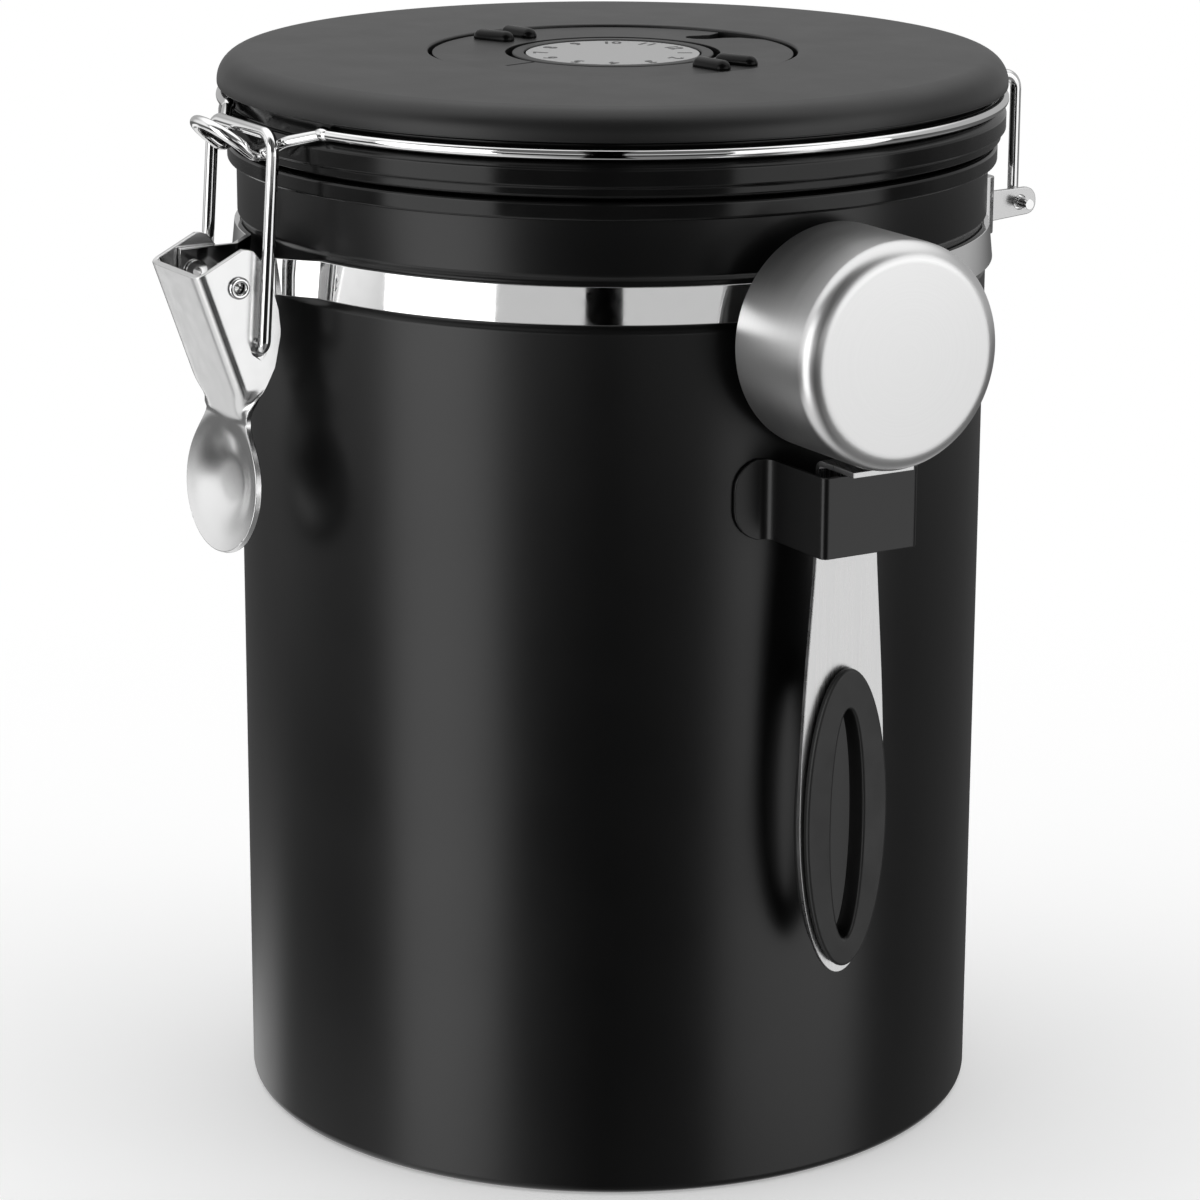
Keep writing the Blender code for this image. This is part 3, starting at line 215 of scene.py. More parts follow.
def mirror_half(bm, axis):
    """Opens the caps on the mirror plane and adds the other half."""
    side = "XYZ".index(axis)
    caps = [face for face in bm.faces if all(abs(vert.co[side]) < ON_PLANE for vert in face.verts)]
    bmesh.ops.delete(bm, geom=caps, context="FACES_ONLY")
    bmesh.ops.mirror(bm, geom=bm.verts[:] + bm.edges[:] + bm.faces[:], matrix=Matrix.Identity(4),
                     merge_dist=MIRROR_MERGE, axis=axis)


# %% [markdown]
# ## Plates and cuts
#
# A flat pressing is an outline with a thickness. The outline starts from a few corners, whose
# vertices are bevelled to round them, and the face is then extruded. Holes and slots are cut
# with an exact Boolean, whose result is taken straight back into the mesh, so no cutter is
# left in the scene.

# %% Plates and rods
CORNER_SEGMENTS = 6


def pull_up(bm, height):
    """Extrudes the one face of a flat bmesh along Z."""
    made = bmesh.ops.extrude_face_region(bm, geom=bm.faces[:])["geom"]
    verts = [item for item in made if isinstance(item, bmesh.types.BMVert)]
    bmesh.ops.translate(bm, vec=(0.0, 0.0, height), verts=verts)


def plate(corners, radii, thickness, place):
    """A plate in its own XY plane, centred on it, moved by place. radii round the corners."""
    bm = bmesh.new()
    verts = [bm.verts.new((across, along, -thickness / 2.0)) for across, along in corners]
    face = bm.faces.new(verts)
    for vert, radius in zip(verts, radii):
        if radius:
            sides = [edge.other_vert(vert).co - vert.co for edge in vert.link_edges]
            half = sides[0].angle(sides[1]) / 2.0
            bmesh.ops.bevel(bm, geom=[vert], offset=radius / math.tan(half), offset_type="OFFSET",
                            affect="VERTICES", segments=CORNER_SEGMENTS, profile=0.5,
                            material=-1)
    pull_up(bm, thickness)
    bmesh.ops.transform(bm, matrix=place, verts=bm.verts)
    return bm


def upright(origin):
    """Places a plate so that its X runs along Y and its Y runs along Z."""
    return Matrix.Translation(origin) @ Matrix(((0.0, 0.0, 1.0), (1.0, 0.0, 0.0), (0.0, 1.0, 0.0))).to_4x4()


def oval_plate(half_width, top, foot, thickness, out):
    """An upright oval block across X at a distance from the jar's axis."""
    bm = bmesh.new()
    shape = Matrix.Diagonal((half_width, (top - foot) / 2.0, 1.0, 1.0))
    lift = Matrix.Translation((0.0, (top + foot) / 2.0, -thickness / 2.0))
    bmesh.ops.create_circle(bm, cap_ends=True, radius=1.0, segments=72, matrix=lift @ shape)
    pull_up(bm, thickness)
    bmesh.ops.transform(bm, matrix=upright((out, 0.0, 0.0)), verts=bm.verts)
    return bm


def rod(radius, start, end, segments=40):
    """A round rod between two points."""
    start = Vector(start)
    end = Vector(end)
    bm = bmesh.new()
    turn = (end - start).to_track_quat("Z", "Y").to_matrix().to_4x4()
    bmesh.ops.create_cone(bm, cap_ends=True, segments=segments, radius1=radius, radius2=radius,
                          depth=(end - start).length,
                          matrix=Matrix.Translation((start + end) / 2.0) @ turn)
    return bm


# %% Cuts, joins and sheets
def stock(bm):
    """A short-lived object made of a bmesh, for a modifier to work on."""
    bmesh.ops.recalc_face_normals(bm, faces=bm.faces)
    mesh = bpy.data.meshes.new("stock")
    bm.to_mesh(mesh)
    bm.free()
    obj = bpy.data.objects.new("stock", mesh)
    bpy.context.scene.collection.objects.link(obj)
    return obj


def take_back(worked, *others):
    """The shape of the worked object as a bmesh, after which the stock is cleared away."""
    result = bmesh.new()
    result.from_object(worked, bpy.context.evaluated_depsgraph_get())
    for obj in (worked, *others):
        mesh = obj.data
        bpy.data.objects.remove(obj)
        bpy.data.meshes.remove(mesh)
    return result


def combine(base, tool, operation):
    """Cuts, joins or intersects two closed shapes."""
    base = stock(base)
    tool = stock(tool)
    cut = base.modifiers.new("Cut", "BOOLEAN")
    cut.operation = operation
    cut.solver = "EXACT"
    cut.object = tool
    return take_back(base, tool)


def add_to(bm, other):
    """Puts a second bmesh into the first."""
    mesh = bpy.data.meshes.new("stock")
    other.to_mesh(mesh)
    other.free()
    bm.from_mesh(mesh)
    bpy.data.meshes.remove(mesh)


def thicken(bm, thickness):
    """Gives an open sheet a wall, half of it on each side."""
    base = stock(bm)
    sheet = base.modifiers.new("Sheet", "SOLIDIFY")
    sheet.thickness = thickness
    sheet.offset = 0.0
    sheet.use_even_offset = False
    return take_back(base)


# %% [markdown]
# ## Finishes
#
# The looks rest on fourteen finishes. Each is a Principled shader whose roughness, colour or
# bump is stirred by noise at the scale of the real surface: the orange peel of a powder coat,
# the faint mottle of moulded plastic, the fine lines of brushed steel. The noise reads Object
# coordinates, so it stays with the piece when a joint moves. Nearly all of its values lie
# between 0.3 and 0.7, and that span is spread over the range that a finish asks for.

# %% Node helpers
NOISE_LOW = 0.3
NOISE_HIGH = 0.7


def new_finish(name, colour, metallic, roughness, specular=0.5):
    material = bpy.data.materials.new(name)
    material.use_nodes = True
    shader = material.node_tree.nodes["Principled BSDF"]
    shader.inputs["Base Color"].default_value = (*colour, 1.0)
    shader.inputs["Metallic"].default_value = metallic
    shader.inputs["Roughness"].default_value = roughness
    shader.inputs["Specular IOR Level"].default_value = specular
    return material


def add_noise(material, scale, stretch=(1.0, 1.0, 1.0), detail=3.0):
    nodes = material.node_tree.nodes
    links = material.node_tree.links
    place = nodes.new("ShaderNodeTexCoord")
    mapping = nodes.new("ShaderNodeMapping")
    mapping.inputs["Scale"].default_value = stretch
    noise = nodes.new("ShaderNodeTexNoise")
    noise.inputs["Scale"].default_value = scale
    noise.inputs["Detail"].default_value = detail
    links.new(place.outputs["Object"], mapping.inputs["Vector"])
    links.new(mapping.outputs["Vector"], noise.inputs["Vector"])
    return noise.outputs["Fac"]


def stir_roughness(material, source, low, high):
    nodes = material.node_tree.nodes
    links = material.node_tree.links
    spread = nodes.new("ShaderNodeMapRange")
    spread.inputs["From Min"].default_value = NOISE_LOW
    spread.inputs["From Max"].default_value = NOISE_HIGH
    spread.inputs["To Min"].default_value = low
    spread.inputs["To Max"].default_value = high
    links.new(source, spread.inputs["Value"])
    links.new(spread.outputs["Result"], nodes["Principled BSDF"].inputs["Roughness"])


def stir_colour(material, source, dark, light):
    nodes = material.node_tree.nodes
    links = material.node_tree.links
    ramp = nodes.new("ShaderNodeValToRGB")
    ramp.color_ramp.elements[0].position = NOISE_LOW
    ramp.color_ramp.elements[0].color = (*dark, 1.0)
    ramp.color_ramp.elements[1].position = NOISE_HIGH
    ramp.color_ramp.elements[1].color = (*light, 1.0)
    links.new(source, ramp.inputs["Fac"])
    links.new(ramp.outputs["Color"], nodes["Principled BSDF"].inputs["Base Color"])


def stir_bump(material, source, depth):
    nodes = material.node_tree.nodes
    links = material.node_tree.links
    bump = nodes.new("ShaderNodeBump")
    bump.inputs["Strength"].default_value = 1.0
    bump.inputs["Distance"].default_value = depth
    links.new(source, bump.inputs["Height"])
    links.new(bump.outputs["Normal"], nodes["Principled BSDF"].inputs["Normal"])


# %% [markdown]
# ### Black powder coat
#
# The jar and the clip are sprayed with powder and baked. The coat is nearly black, with a
# broad soft shine and a very fine pebbling about half a millimetre across. A shallow bump
# gives the pebbling, and slower noise lets the shine wander a little.

# %% Powder coat
powder_coat = new_finish("powder_coat", (0.0011, 0.0011, 0.0012), 0.0, 0.3, specular=0.5)
stir_roughness(powder_coat, add_noise(powder_coat, 60.0), 0.29, 0.315)
stir_bump(powder_coat, add_noise(powder_coat, 1900.0, detail=1.0), 0.000004)

# %% [markdown]
# ### Matte and glossy black plastic
#
# The lid's cap is moulded with a fine spark-eroded grain that scatters the light, so its top
# looks dark grey. The parts below it come from a polished mould: they are glossy, and only
# slow ripples from the moulding disturb the shine. The dial is nearly as matte as the cap. Its
# ribs have a smooth skin, but mirror little, so they stay the darkest part of the lid.

# %% Plastics
matte_black = new_finish("matte_black", (0.0035, 0.0035, 0.0035), 0.0, 0.4, specular=0.5)
stir_roughness(matte_black, add_noise(matte_black, 90.0), 0.385, 0.425)
stir_bump(matte_black, add_noise(matte_black, 3200.0, detail=1.0), 0.000006)

gloss_black = new_finish("gloss_black", (0.004, 0.004, 0.004), 0.0, 0.16, specular=0.35)
stir_roughness(gloss_black, add_noise(gloss_black, 140.0), 0.13, 0.2)
stir_bump(gloss_black, add_noise(gloss_black, 90.0, detail=1.0), 0.00001)

dial_black = new_finish("dial_black", (0.004, 0.004, 0.004), 0.0, 0.4, specular=0.45)
stir_roughness(dial_black, add_noise(dial_black, 120.0), 0.38, 0.43)
stir_bump(dial_black, add_noise(dial_black, 2800.0, detail=1.0), 0.000004)

rib_black = new_finish("rib_black", (0.003, 0.003, 0.003), 0.0, 0.2, specular=0.14)
stir_roughness(rib_black, add_noise(rib_black, 140.0), 0.17, 0.23)
stir_bump(rib_black, add_noise(rib_black, 300.0, detail=1.0), 0.000004)

# %% [markdown]
# ### Steels
#
# The wires, the rivets and the strap are polished until they mirror the room, with a trace of
# fine wear. The lever and the hinge bracket have a satin face, which spreads what it mirrors.
# The scoop's handle is brushed lengthwise, and noise stretched strongly in one direction draws
# such lines. The jar's foot is plain rolled sheet.

# %% Polished and brushed steel
polished_steel = new_finish("polished_steel", (0.82, 0.82, 0.82), 1.0, 0.06)
stir_roughness(polished_steel, add_noise(polished_steel, 420.0), 0.035, 0.09)
stir_bump(polished_steel, add_noise(polished_steel, 160.0, detail=1.0), 0.000006)

lever_steel = new_finish("lever_steel", (0.8, 0.8, 0.8), 1.0, 0.24)
stir_roughness(lever_steel, add_noise(lever_steel, 380.0), 0.21, 0.26)
stir_bump(lever_steel, add_noise(lever_steel, 120.0, detail=1.0), 0.000004)

satin_steel = new_finish("satin_steel", (0.52, 0.52, 0.52), 1.0, 0.2)
stir_roughness(satin_steel, add_noise(satin_steel, 500.0), 0.16, 0.26)
stir_bump(satin_steel, add_noise(satin_steel, 900.0, detail=2.0), 0.000003)

brushed_steel = new_finish("brushed_steel", (0.58, 0.58, 0.58), 1.0, 0.3)
handle_lines = add_noise(brushed_steel, 1.0, stretch=(300.0, 5200.0, 60.0), detail=4.0)
stir_roughness(brushed_steel, handle_lines, 0.22, 0.36)
stir_colour(brushed_steel, handle_lines, (0.56, 0.56, 0.56), (0.59, 0.59, 0.59))
stir_bump(brushed_steel, handle_lines, 0.000001)

plain_steel = new_finish("plain_steel", (0.5, 0.5, 0.5), 1.0, 0.35)
rolled_lines = add_noise(plain_steel, 1.0, stretch=(2600.0, 90.0, 90.0), detail=3.0)
stir_roughness(plain_steel, rolled_lines, 0.28, 0.42)

# %% [markdown]
# ### Turned brushing
#
# The scoop's cup is brushed while it spins, so its lines run round it. The noise is read from
# the distance along the cup's axis and the distance out from it, which stay the same all the
# way round. A trace of the sideways place is added, so that no line is a perfect circle.

# %% The cup's turned brushing
CUP_CENTRE_UP = 0.1414
BRUSHING_DRIFT = 0.012


def turned_lines(material, scale):
    """Noise that changes along X and with the distance from the cup's axis."""
    nodes = material.node_tree.nodes
    links = material.node_tree.links
    place = nodes.new("ShaderNodeTexCoord")
    centred = nodes.new("ShaderNodeMapping")
    centred.inputs["Location"].default_value = (0.0, 0.0, -CUP_CENTRE_UP)
    parts = nodes.new("ShaderNodeSeparateXYZ")
    flat = nodes.new("ShaderNodeCombineXYZ")
    radius = nodes.new("ShaderNodeVectorMath")
    radius.operation = "LENGTH"
    turned = nodes.new("ShaderNodeCombineXYZ")
    slow = nodes.new("ShaderNodeMath")
    slow.operation = "MULTIPLY"
    slow.inputs[1].default_value = BRUSHING_DRIFT
    noise = nodes.new("ShaderNodeTexNoise")
    noise.inputs["Scale"].default_value = scale
    noise.inputs["Detail"].default_value = 4.0
    links.new(place.outputs["Object"], centred.inputs["Vector"])
    links.new(centred.outputs["Vector"], parts.inputs["Vector"])
    links.new(parts.outputs["Y"], flat.inputs["Y"])
    links.new(parts.outputs["Z"], flat.inputs["Z"])
    links.new(flat.outputs["Vector"], radius.inputs[0])
    links.new(parts.outputs["X"], turned.inputs["X"])
    links.new(radius.outputs["Value"], turned.inputs["Y"])
    links.new(parts.outputs["Y"], slow.inputs[0])
    links.new(slow.outputs["Value"], turned.inputs["Z"])
    links.new(turned.outputs["Vector"], noise.inputs["Vector"])
    return noise.outputs["Fac"]


cup_steel = new_finish("cup_steel", (0.68, 0.68, 0.68), 1.0, 0.32)
cup_lines = turned_lines(cup_steel, 4200.0)
stir_roughness(cup_steel, cup_lines, 0.31, 0.35)
stir_colour(cup_steel, cup_lines, (0.675, 0.675, 0.675), (0.695, 0.695, 0.695))
stir_bump(cup_steel, cup_lines, 0.0000005)

# %% [markdown]
# ### Silicone and the label
#
# The scoop's grip, the seal and the valve's flap are dark silicone, with a soft sheen. The
# month label is thin metal foil, and its figures are printed in dark grey ink.

# %% Silicone, foil and ink
silicone = new_finish("silicone", (0.009, 0.009, 0.009), 0.0, 0.42, specular=0.45)
stir_roughness(silicone, add_noise(silicone, 240.0), 0.36, 0.48)
stir_bump(silicone, add_noise(silicone, 2400.0, detail=1.0), 0.000005)

silver_foil = new_finish("silver_foil", (0.48, 0.48, 0.48), 0.35, 0.42)
foil_grain = add_noise(silver_foil, 2600.0, detail=2.0)
stir_roughness(silver_foil, foil_grain, 0.36, 0.5)
stir_colour(silver_foil, foil_grain, (0.44, 0.44, 0.44), (0.52, 0.52, 0.52))

dark_ink = new_finish("dark_ink", (0.06, 0.06, 0.06), 0.0, 0.5)
stir_roughness(dark_ink, add_noise(dark_ink, 1500.0), 0.45, 0.55)
print("finishes:", len(bpy.data.materials))

# %% [markdown]
# ## The jar
#
# The jar is drawn from one sheet: a straight wall, a groove pressed in for the strap, and a
# turned-in foot. The groove has soft shoulders, because steel can't be pressed to a sharp
# corner, so they follow half a wave.

# %% Jar wall
GAP = 0.0003
BODY_RADIUS = 0.0624
BODY_WALL = 0.0008
BODY_HEIGHT = 0.1622
FOOT_RADIUS = 0.0016
FOOT_WIDTH = 0.0024
BAND_MIDDLE = 0.1470
BAND_HEIGHT = 0.0059
GROOVE_DEPTH = 0.0007
GROOVE_SHOULDER = 0.0015


def shoulder(start_up, end_up, start_out, end_out, steps=8):
    points = []
    for index in range(steps + 1):
        share = index / steps
        ease = 0.5 - 0.5 * math.cos(math.pi * share)
        points.append((start_out + (end_out - start_out) * ease, start_up + (end_up - start_up) * share))
    return points


groove_out = BODY_RADIUS - GROOVE_DEPTH
groove_top = BAND_MIDDLE + BAND_HEIGHT / 2.0 + GAP
groove_foot = BAND_MIDDLE - BAND_HEIGHT / 2.0 - GAP
jar_wall = [(BODY_RADIUS, BODY_HEIGHT)]
jar_wall += shoulder(groove_top + GROOVE_SHOULDER, groove_top, BODY_RADIUS, groove_out)
jar_wall += shoulder(groove_foot, groove_foot - GROOVE_SHOULDER, groove_out, BODY_RADIUS)
foot_in = BODY_RADIUS - FOOT_RADIUS
jar_foot = arc(foot_in, FOOT_RADIUS, FOOT_RADIUS, 0.0, -90.0, 8)
jar_lip = [(foot_in - FOOT_WIDTH, 0.0), (foot_in - FOOT_WIDTH, BODY_WALL)]
jar_inner_foot = arc(foot_in, FOOT_RADIUS, FOOT_RADIUS - BODY_WALL, -90.0, 0.0, 6)
jar_inside = [(radius - BODY_WALL, height) for radius, height in reversed(jar_wall)]
settle("jar_wall", spin_profile(jar_wall + jar_foot + jar_lip + jar_inner_foot + jar_inside),
       powder_coat, "canister", "body_shell")

# %% [markdown]
# ## Base plate and rim collar
#
# A pressed steel plate closes the jar. Its rim is raised by a millimetre and lies on the jar's
# turned-in foot. It is a turned piece, whose profile starts and ends on the axis.

# %% Base plate
BASE_DRAFT = 0.0008
plate_rim = BODY_RADIUS - BODY_WALL - GAP - GAP
plate_under = BODY_WALL + GAP
plate_well = foot_in - FOOT_WIDTH - GAP
settle("base_plate", spin_profile([
    (0.0, BODY_WALL),
    (plate_well - BODY_WALL - BASE_DRAFT, BODY_WALL),
    (plate_well - BODY_WALL, plate_under + BODY_WALL),
    (plate_rim, plate_under + BODY_WALL),
    (plate_rim, plate_under),
    (plate_well, plate_under),
    (plate_well - BASE_DRAFT, 0.0),
    (0.0, 0.0),
], closed=False), plain_steel, "canister", "base_disc", edge=0.00025)

# %% [markdown]
# Round the mouth sits a stepped plastic collar, which gives the lid's seal a smooth seat and
# shows below the lid as one bright glossy line. That line is the light on its rounded lower
# corner, so the bevel is wide, and stops just short of the one on the step behind it.

# %% Rim collar
COLLAR_RADIUS = 0.0639
COLLAR_TOP = 0.1632
COLLAR_HEIGHT = 0.0030
COLLAR_DEPTH = 0.0052
COLLAR_WALL = 0.0011
COLLAR_EDGE = 0.00058
collar_slot_out = BODY_RADIUS + GAP
collar_slot_in = BODY_RADIUS - BODY_WALL - GAP
collar_mouth = collar_slot_in - COLLAR_WALL
settle("mouth_collar", spin_profile([
    (COLLAR_RADIUS, COLLAR_TOP),
    (COLLAR_RADIUS, COLLAR_TOP - COLLAR_HEIGHT),
    (collar_slot_out, COLLAR_TOP - COLLAR_HEIGHT),
    (collar_slot_out, BODY_HEIGHT + GAP),
    (collar_slot_in, BODY_HEIGHT + GAP),
    (collar_slot_in, COLLAR_TOP - COLLAR_DEPTH),
    (collar_mouth, COLLAR_TOP - COLLAR_DEPTH),
    (collar_mouth, COLLAR_TOP),
]), gloss_black, "canister", "rim_collar", edge=COLLAR_EDGE, segments=4)

# %% [markdown]
# ## The strap and its ears
#
# A polished strap lies in the groove. At the latch its two ends bend outwards and run forward
# as ears, which carry the lever. It is bent from flat stock: half of it is fed and bent from
# an ear's tip round to the back, and the other half is its mirror image. Behind the bends the
# strap is a shallow cone, narrower at its upper edge, so it mirrors the room a little above eye
# level.

# %% Neck strap
BAND_MIDDLE_RADIUS = 0.0627
BAND_THICKNESS = 0.0010
EAR_OUT = 0.0762
EAR_SIDE = 0.0072
EAR_BEND_OUT = 0.0663
BAND_CORNER_SIDE = 0.0132
EAR_CORNER = 0.0009
BAND_CORNER = 0.0014
STRAP_LEAN = 0.105
STRAP_LEAN_FROM = -0.0640
STRAP_STEPS = 90
corner_angle = math.asin(BAND_CORNER_SIDE / BAND_MIDDLE_RADIUS)
corner_out = BAND_MIDDLE_RADIUS * math.cos(corner_angle)
round_start = Vector((BAND_CORNER_SIDE, -corner_out, BAND_MIDDLE))
tangent = Vector((math.cos(corner_angle), math.sin(corner_angle), 0.0))
strap = Bar((EAR_SIDE, -EAR_OUT, BAND_MIDDLE), Y_AXIS, strip_section(BAND_THICKNESS, BAND_HEIGHT))
strap.follow([(EAR_SIDE, -EAR_BEND_OUT, BAND_MIDDLE), round_start, round_start + tangent * BAND_CORNER],
             [EAR_CORNER, BAND_CORNER])
turn_left = math.pi / 2.0 - math.atan2(strap.place.y, strap.place.x)
strap.bend((0.0, 0.0, BAND_MIDDLE), Z_AXIS, turn_left, STRAP_STEPS)
mirror_half(strap.bm, "X")
for vert in strap.bm.verts:
    if vert.co.y > STRAP_LEAN_FROM:
        lean = 1.0 - STRAP_LEAN * (vert.co.z - BAND_MIDDLE) / BAND_MIDDLE_RADIUS
        vert.co = Vector((vert.co.x * lean, vert.co.y * lean, vert.co.z))
LEVER_PIVOT = Vector((0.0, -0.0736, 0.1461))
EYELET_RADIUS = 0.0012
ear_hole = rod(EYELET_RADIUS + GAP, LEVER_PIVOT - X_AXIS * EAR_OUT, LEVER_PIVOT + X_AXIS * EAR_OUT)
settle("neck_strap", combine(strap.bm, ear_hole, "DIFFERENCE"), polished_steel,
       "canister", "neck_band", edge=0.00012)

# %% [markdown]
# ## Eyelets
#
# The lever turns on two hollow rivets. Each has a rolled lip outside the lever and a flat head
# inside the ear. They are turned pieces too, spun about Z and then laid along X.

# %% Lever eyelets
LEVER_HALF_WIDTH = 0.0090
LEVER_SHEET = 0.0010
EYELET_BORE = 0.0007
EYELET_LIP = 0.0009
EYELET_HEAD = 0.00195
EYELET_HEAD_SHEET = 0.0003
EYELET_ROLL = 0.00045
ear_inner = LEVER_HALF_WIDTH - LEVER_SHEET - GAP - BAND_THICKNESS


def eyelet(name, side, node):
    outer = LEVER_HALF_WIDTH + GAP
    inner = ear_inner - GAP
    head = EYELET_HEAD_SHEET
    roll_middle = EYELET_LIP + EYELET_ROLL
    bm = spin_profile(arc(roll_middle, outer, EYELET_ROLL, 180.0, 0.0, 10) + [
        (EYELET_RADIUS, outer),
        (EYELET_RADIUS, inner),
        (EYELET_HEAD, inner),
        (EYELET_HEAD, inner - head),
        (EYELET_BORE, inner - head),
        (EYELET_BORE, outer - EYELET_ROLL),
    ], steps=SMALL_ROUND_STEPS)
    turn = Matrix.Translation(LEVER_PIVOT) @ Matrix.Rotation(side * math.pi / 2.0, 4, "Y")
    bmesh.ops.transform(bm, matrix=turn, verts=bm.verts)
    return settle(name, bm, polished_steel, "canister", node, edge=0.0001, segments=3)


eyelet("right_eyelet", 1.0, "lever_eyelet_right")
eyelet("left_eyelet", -1.0, "lever_eyelet_left")

# %% [markdown]
# ## The latch lever
#
# The lever is pressed from one sheet: a channel with two cheeks that ends in a dished thumb
# tab. A grid is shaped row by row, as the press would fold it. Across a row lie the left
# cheek, a bend, the front, a bend and the right cheek. Down the rows the cheeks shrink into
# the neck, and the tab swells out below it. The shape is measured in the side view, as points
# out from the jar and up from the pivot.

# %% Measures of the lever
CHEEK_COLUMNS = 9
BEND_COLUMNS = 5
FRONT_COLUMNS = 12
CHANNEL_ROWS = 30
TAB_ROWS = 16
LEVER_BEND = 0.0013
NARROW_FROM = 0.75
NECK_HALF_WIDTH = 0.0073
TAB_HALF_WIDTH = 0.0128
TAB_HALF_HEIGHT = 0.0111
TAB_DISH = 0.0022
TAB_BOWL = 0.55
TAB_RIM = 0.84
TAB_HOLLOW = 0.3
TAB_LEAN = 0.0024
UNFOLD_FROM = 0.78
FRONT_TOP = Vector((-0.0067, 0.0022))
FRONT_FOOT = Vector((0.0021, -0.0224))
CHEEK_BACK = [Vector(point) for point in (
    (0.0008, 0.0060), (0.0026, 0.0058), (0.0044, 0.0036), (0.0060, -0.0004), (0.0070, -0.0040),
    (0.0074, -0.0078), (0.0063, -0.0133), (0.0038, -0.0182), (0.0026, -0.0212), (0.0024, -0.0221),
)]
columns = 2 * (CHEEK_COLUMNS + BEND_COLUMNS + 1) + FRONT_COLUMNS - 1
even_shares = [2.0 * index / (columns - 1) - 1.0 for index in range(columns)]

# %% [markdown]
# A row is laid out flat first, as distances along the sheet, and then rolled round two bends of
# one radius. Near the neck the bends open, and the cheeks roll down into the sheet. Because
# each point keeps its distance along the sheet, the metal neither creases nor stretches there.
# The points also even out, so that the columns of the channel run on into the tab.

# %% Rows of the channel
def along_points(points, share):
    """A point at a share of the way along a broken line, by length."""
    lengths = [(after - before).length for before, after in zip(points, points[1:])]
    left = share * sum(lengths)
    for before, after, length in zip(points, points[1:], lengths):
        if left <= length:
            return before.lerp(after, left / length)
        left -= length
    return points[-1].copy()


def ease_in_out(share):
    share = min(1.0, max(0.0, share))
    return share ** 2 * (3.0 - 2.0 * share)


def channel_row(share):
    """Points across the channel at a share of its length. Near the neck the cheeks unfold."""
    front = FRONT_TOP.lerp(FRONT_FOOT, share)
    back = along_points(CHEEK_BACK, share)
    depth = (back - front).length
    inward = (back - front).normalized()
    narrow = max(0.0, (share - NARROW_FROM) / (1.0 - NARROW_FROM)) ** 2
    half = LEVER_HALF_WIDTH - LEVER_SHEET / 2.0
    half = half + (NECK_HALF_WIDTH - half) * narrow
    unfold = ease_in_out((share - UNFOLD_FROM) / (1.0 - UNFOLD_FROM))
    fold = math.pi / 2.0 * (1.0 - unfold)
    cheek = max(0.0, depth - LEVER_BEND)
    bend = LEVER_BEND * math.pi / 2.0
    side = cheek + bend
    flat = half - (LEVER_BEND + (side - LEVER_BEND) * unfold)
    along = [flat + side - cheek * index / CHEEK_COLUMNS for index in range(CHEEK_COLUMNS)]
    along += [flat + bend * (1.0 - index / BEND_COLUMNS) for index in range(BEND_COLUMNS + 1)]
    marks = [-mark for mark in along]
    marks += [-flat + 2.0 * flat * index / FRONT_COLUMNS for index in range(1, FRONT_COLUMNS)]
    marks += reversed(along)
    row = []
    for mark, even in zip(marks, even_shares):
        mark += (even * (flat + side) - mark) * unfold
        rolled = min(fold, max(0.0, abs(mark) - flat) / LEVER_BEND)
        beyond = max(0.0, abs(mark) - flat - LEVER_BEND * rolled)
        across = min(abs(mark), flat) + LEVER_BEND * math.sin(rolled) + beyond * math.cos(rolled)
        deep = LEVER_BEND * (1.0 - math.cos(rolled)) + beyond * math.sin(rolled)
        place = front + inward * deep
        row.append(Vector((math.copysign(across, mark), place.x, place.y)))
    return row


# %% [markdown]
# The tab is an oval with a flat rim and a hollow for the thumb. Its upper rows widen from the
# neck, and its lower rows are a square pressed into half a disc, which leaves no pole where
# many thin faces would meet.

# %% Rows of the tab
def tab_point(across, down):
    """A point of the tab from its place in the oval, both -1 to 1, dished towards the jar."""
    out = min(1.0, math.hypot(across, down))
    fall_in = ease_in_out((TAB_RIM - out) / (TAB_RIM - TAB_HOLLOW))
    sink = TAB_DISH * (TAB_BOWL * (1.0 - out ** 2) + (1.0 - TAB_BOWL) * fall_in)
    fall = TAB_HALF_HEIGHT * (1.0 + down)
    lean = TAB_LEAN * fall / (2.0 * TAB_HALF_HEIGHT)
    return Vector((TAB_HALF_WIDTH * across, FRONT_FOOT.x - lean + sink, FRONT_FOOT.y - fall))


def upper_tab_row(share):
    """From the neck to the widest place."""
    down = share - 1.0
    neck = NECK_HALF_WIDTH / TAB_HALF_WIDTH * (1.0 - ease_in_out(share))
    half = (neck ** 4 + (1.0 - down ** 2) ** 2) ** 0.25
    return [tab_point(half * even, down) for even in even_shares]


def lower_tab_row(share):
    """From the widest place to the tip."""
    return [tab_point(across * math.sqrt(1.0 - share ** 2 / 2.0),
                      share * math.sqrt(1.0 - across ** 2 / 2.0))
            for across in even_shares]


# %% Lever sheet
rows = [channel_row(index / CHANNEL_ROWS) for index in range(CHANNEL_ROWS)]
rows += [upper_tab_row(index / TAB_ROWS) for index in range(TAB_ROWS)]
rows += [lower_tab_row(index / TAB_ROWS) for index in range(TAB_ROWS + 1)]
lever_bm = bmesh.new()
bmesh.ops.create_grid(lever_bm, x_segments=columns - 1, y_segments=len(rows) - 1, size=0.5)
grid = sorted(lever_bm.verts, key=lambda vert: (-round(vert.co.y, 6), vert.co.x))
for index, vert in enumerate(grid):
    vert.co = LEVER_PIVOT + rows[index // columns][index % columns]
print("lever rows:", len(rows), "columns:", columns)

# %% [markdown]
# The sheet gets its thickness from a Solidify modifier, half on each side. Then the holes for
# the rivets and for the bail's feet are cut through both cheeks at once.

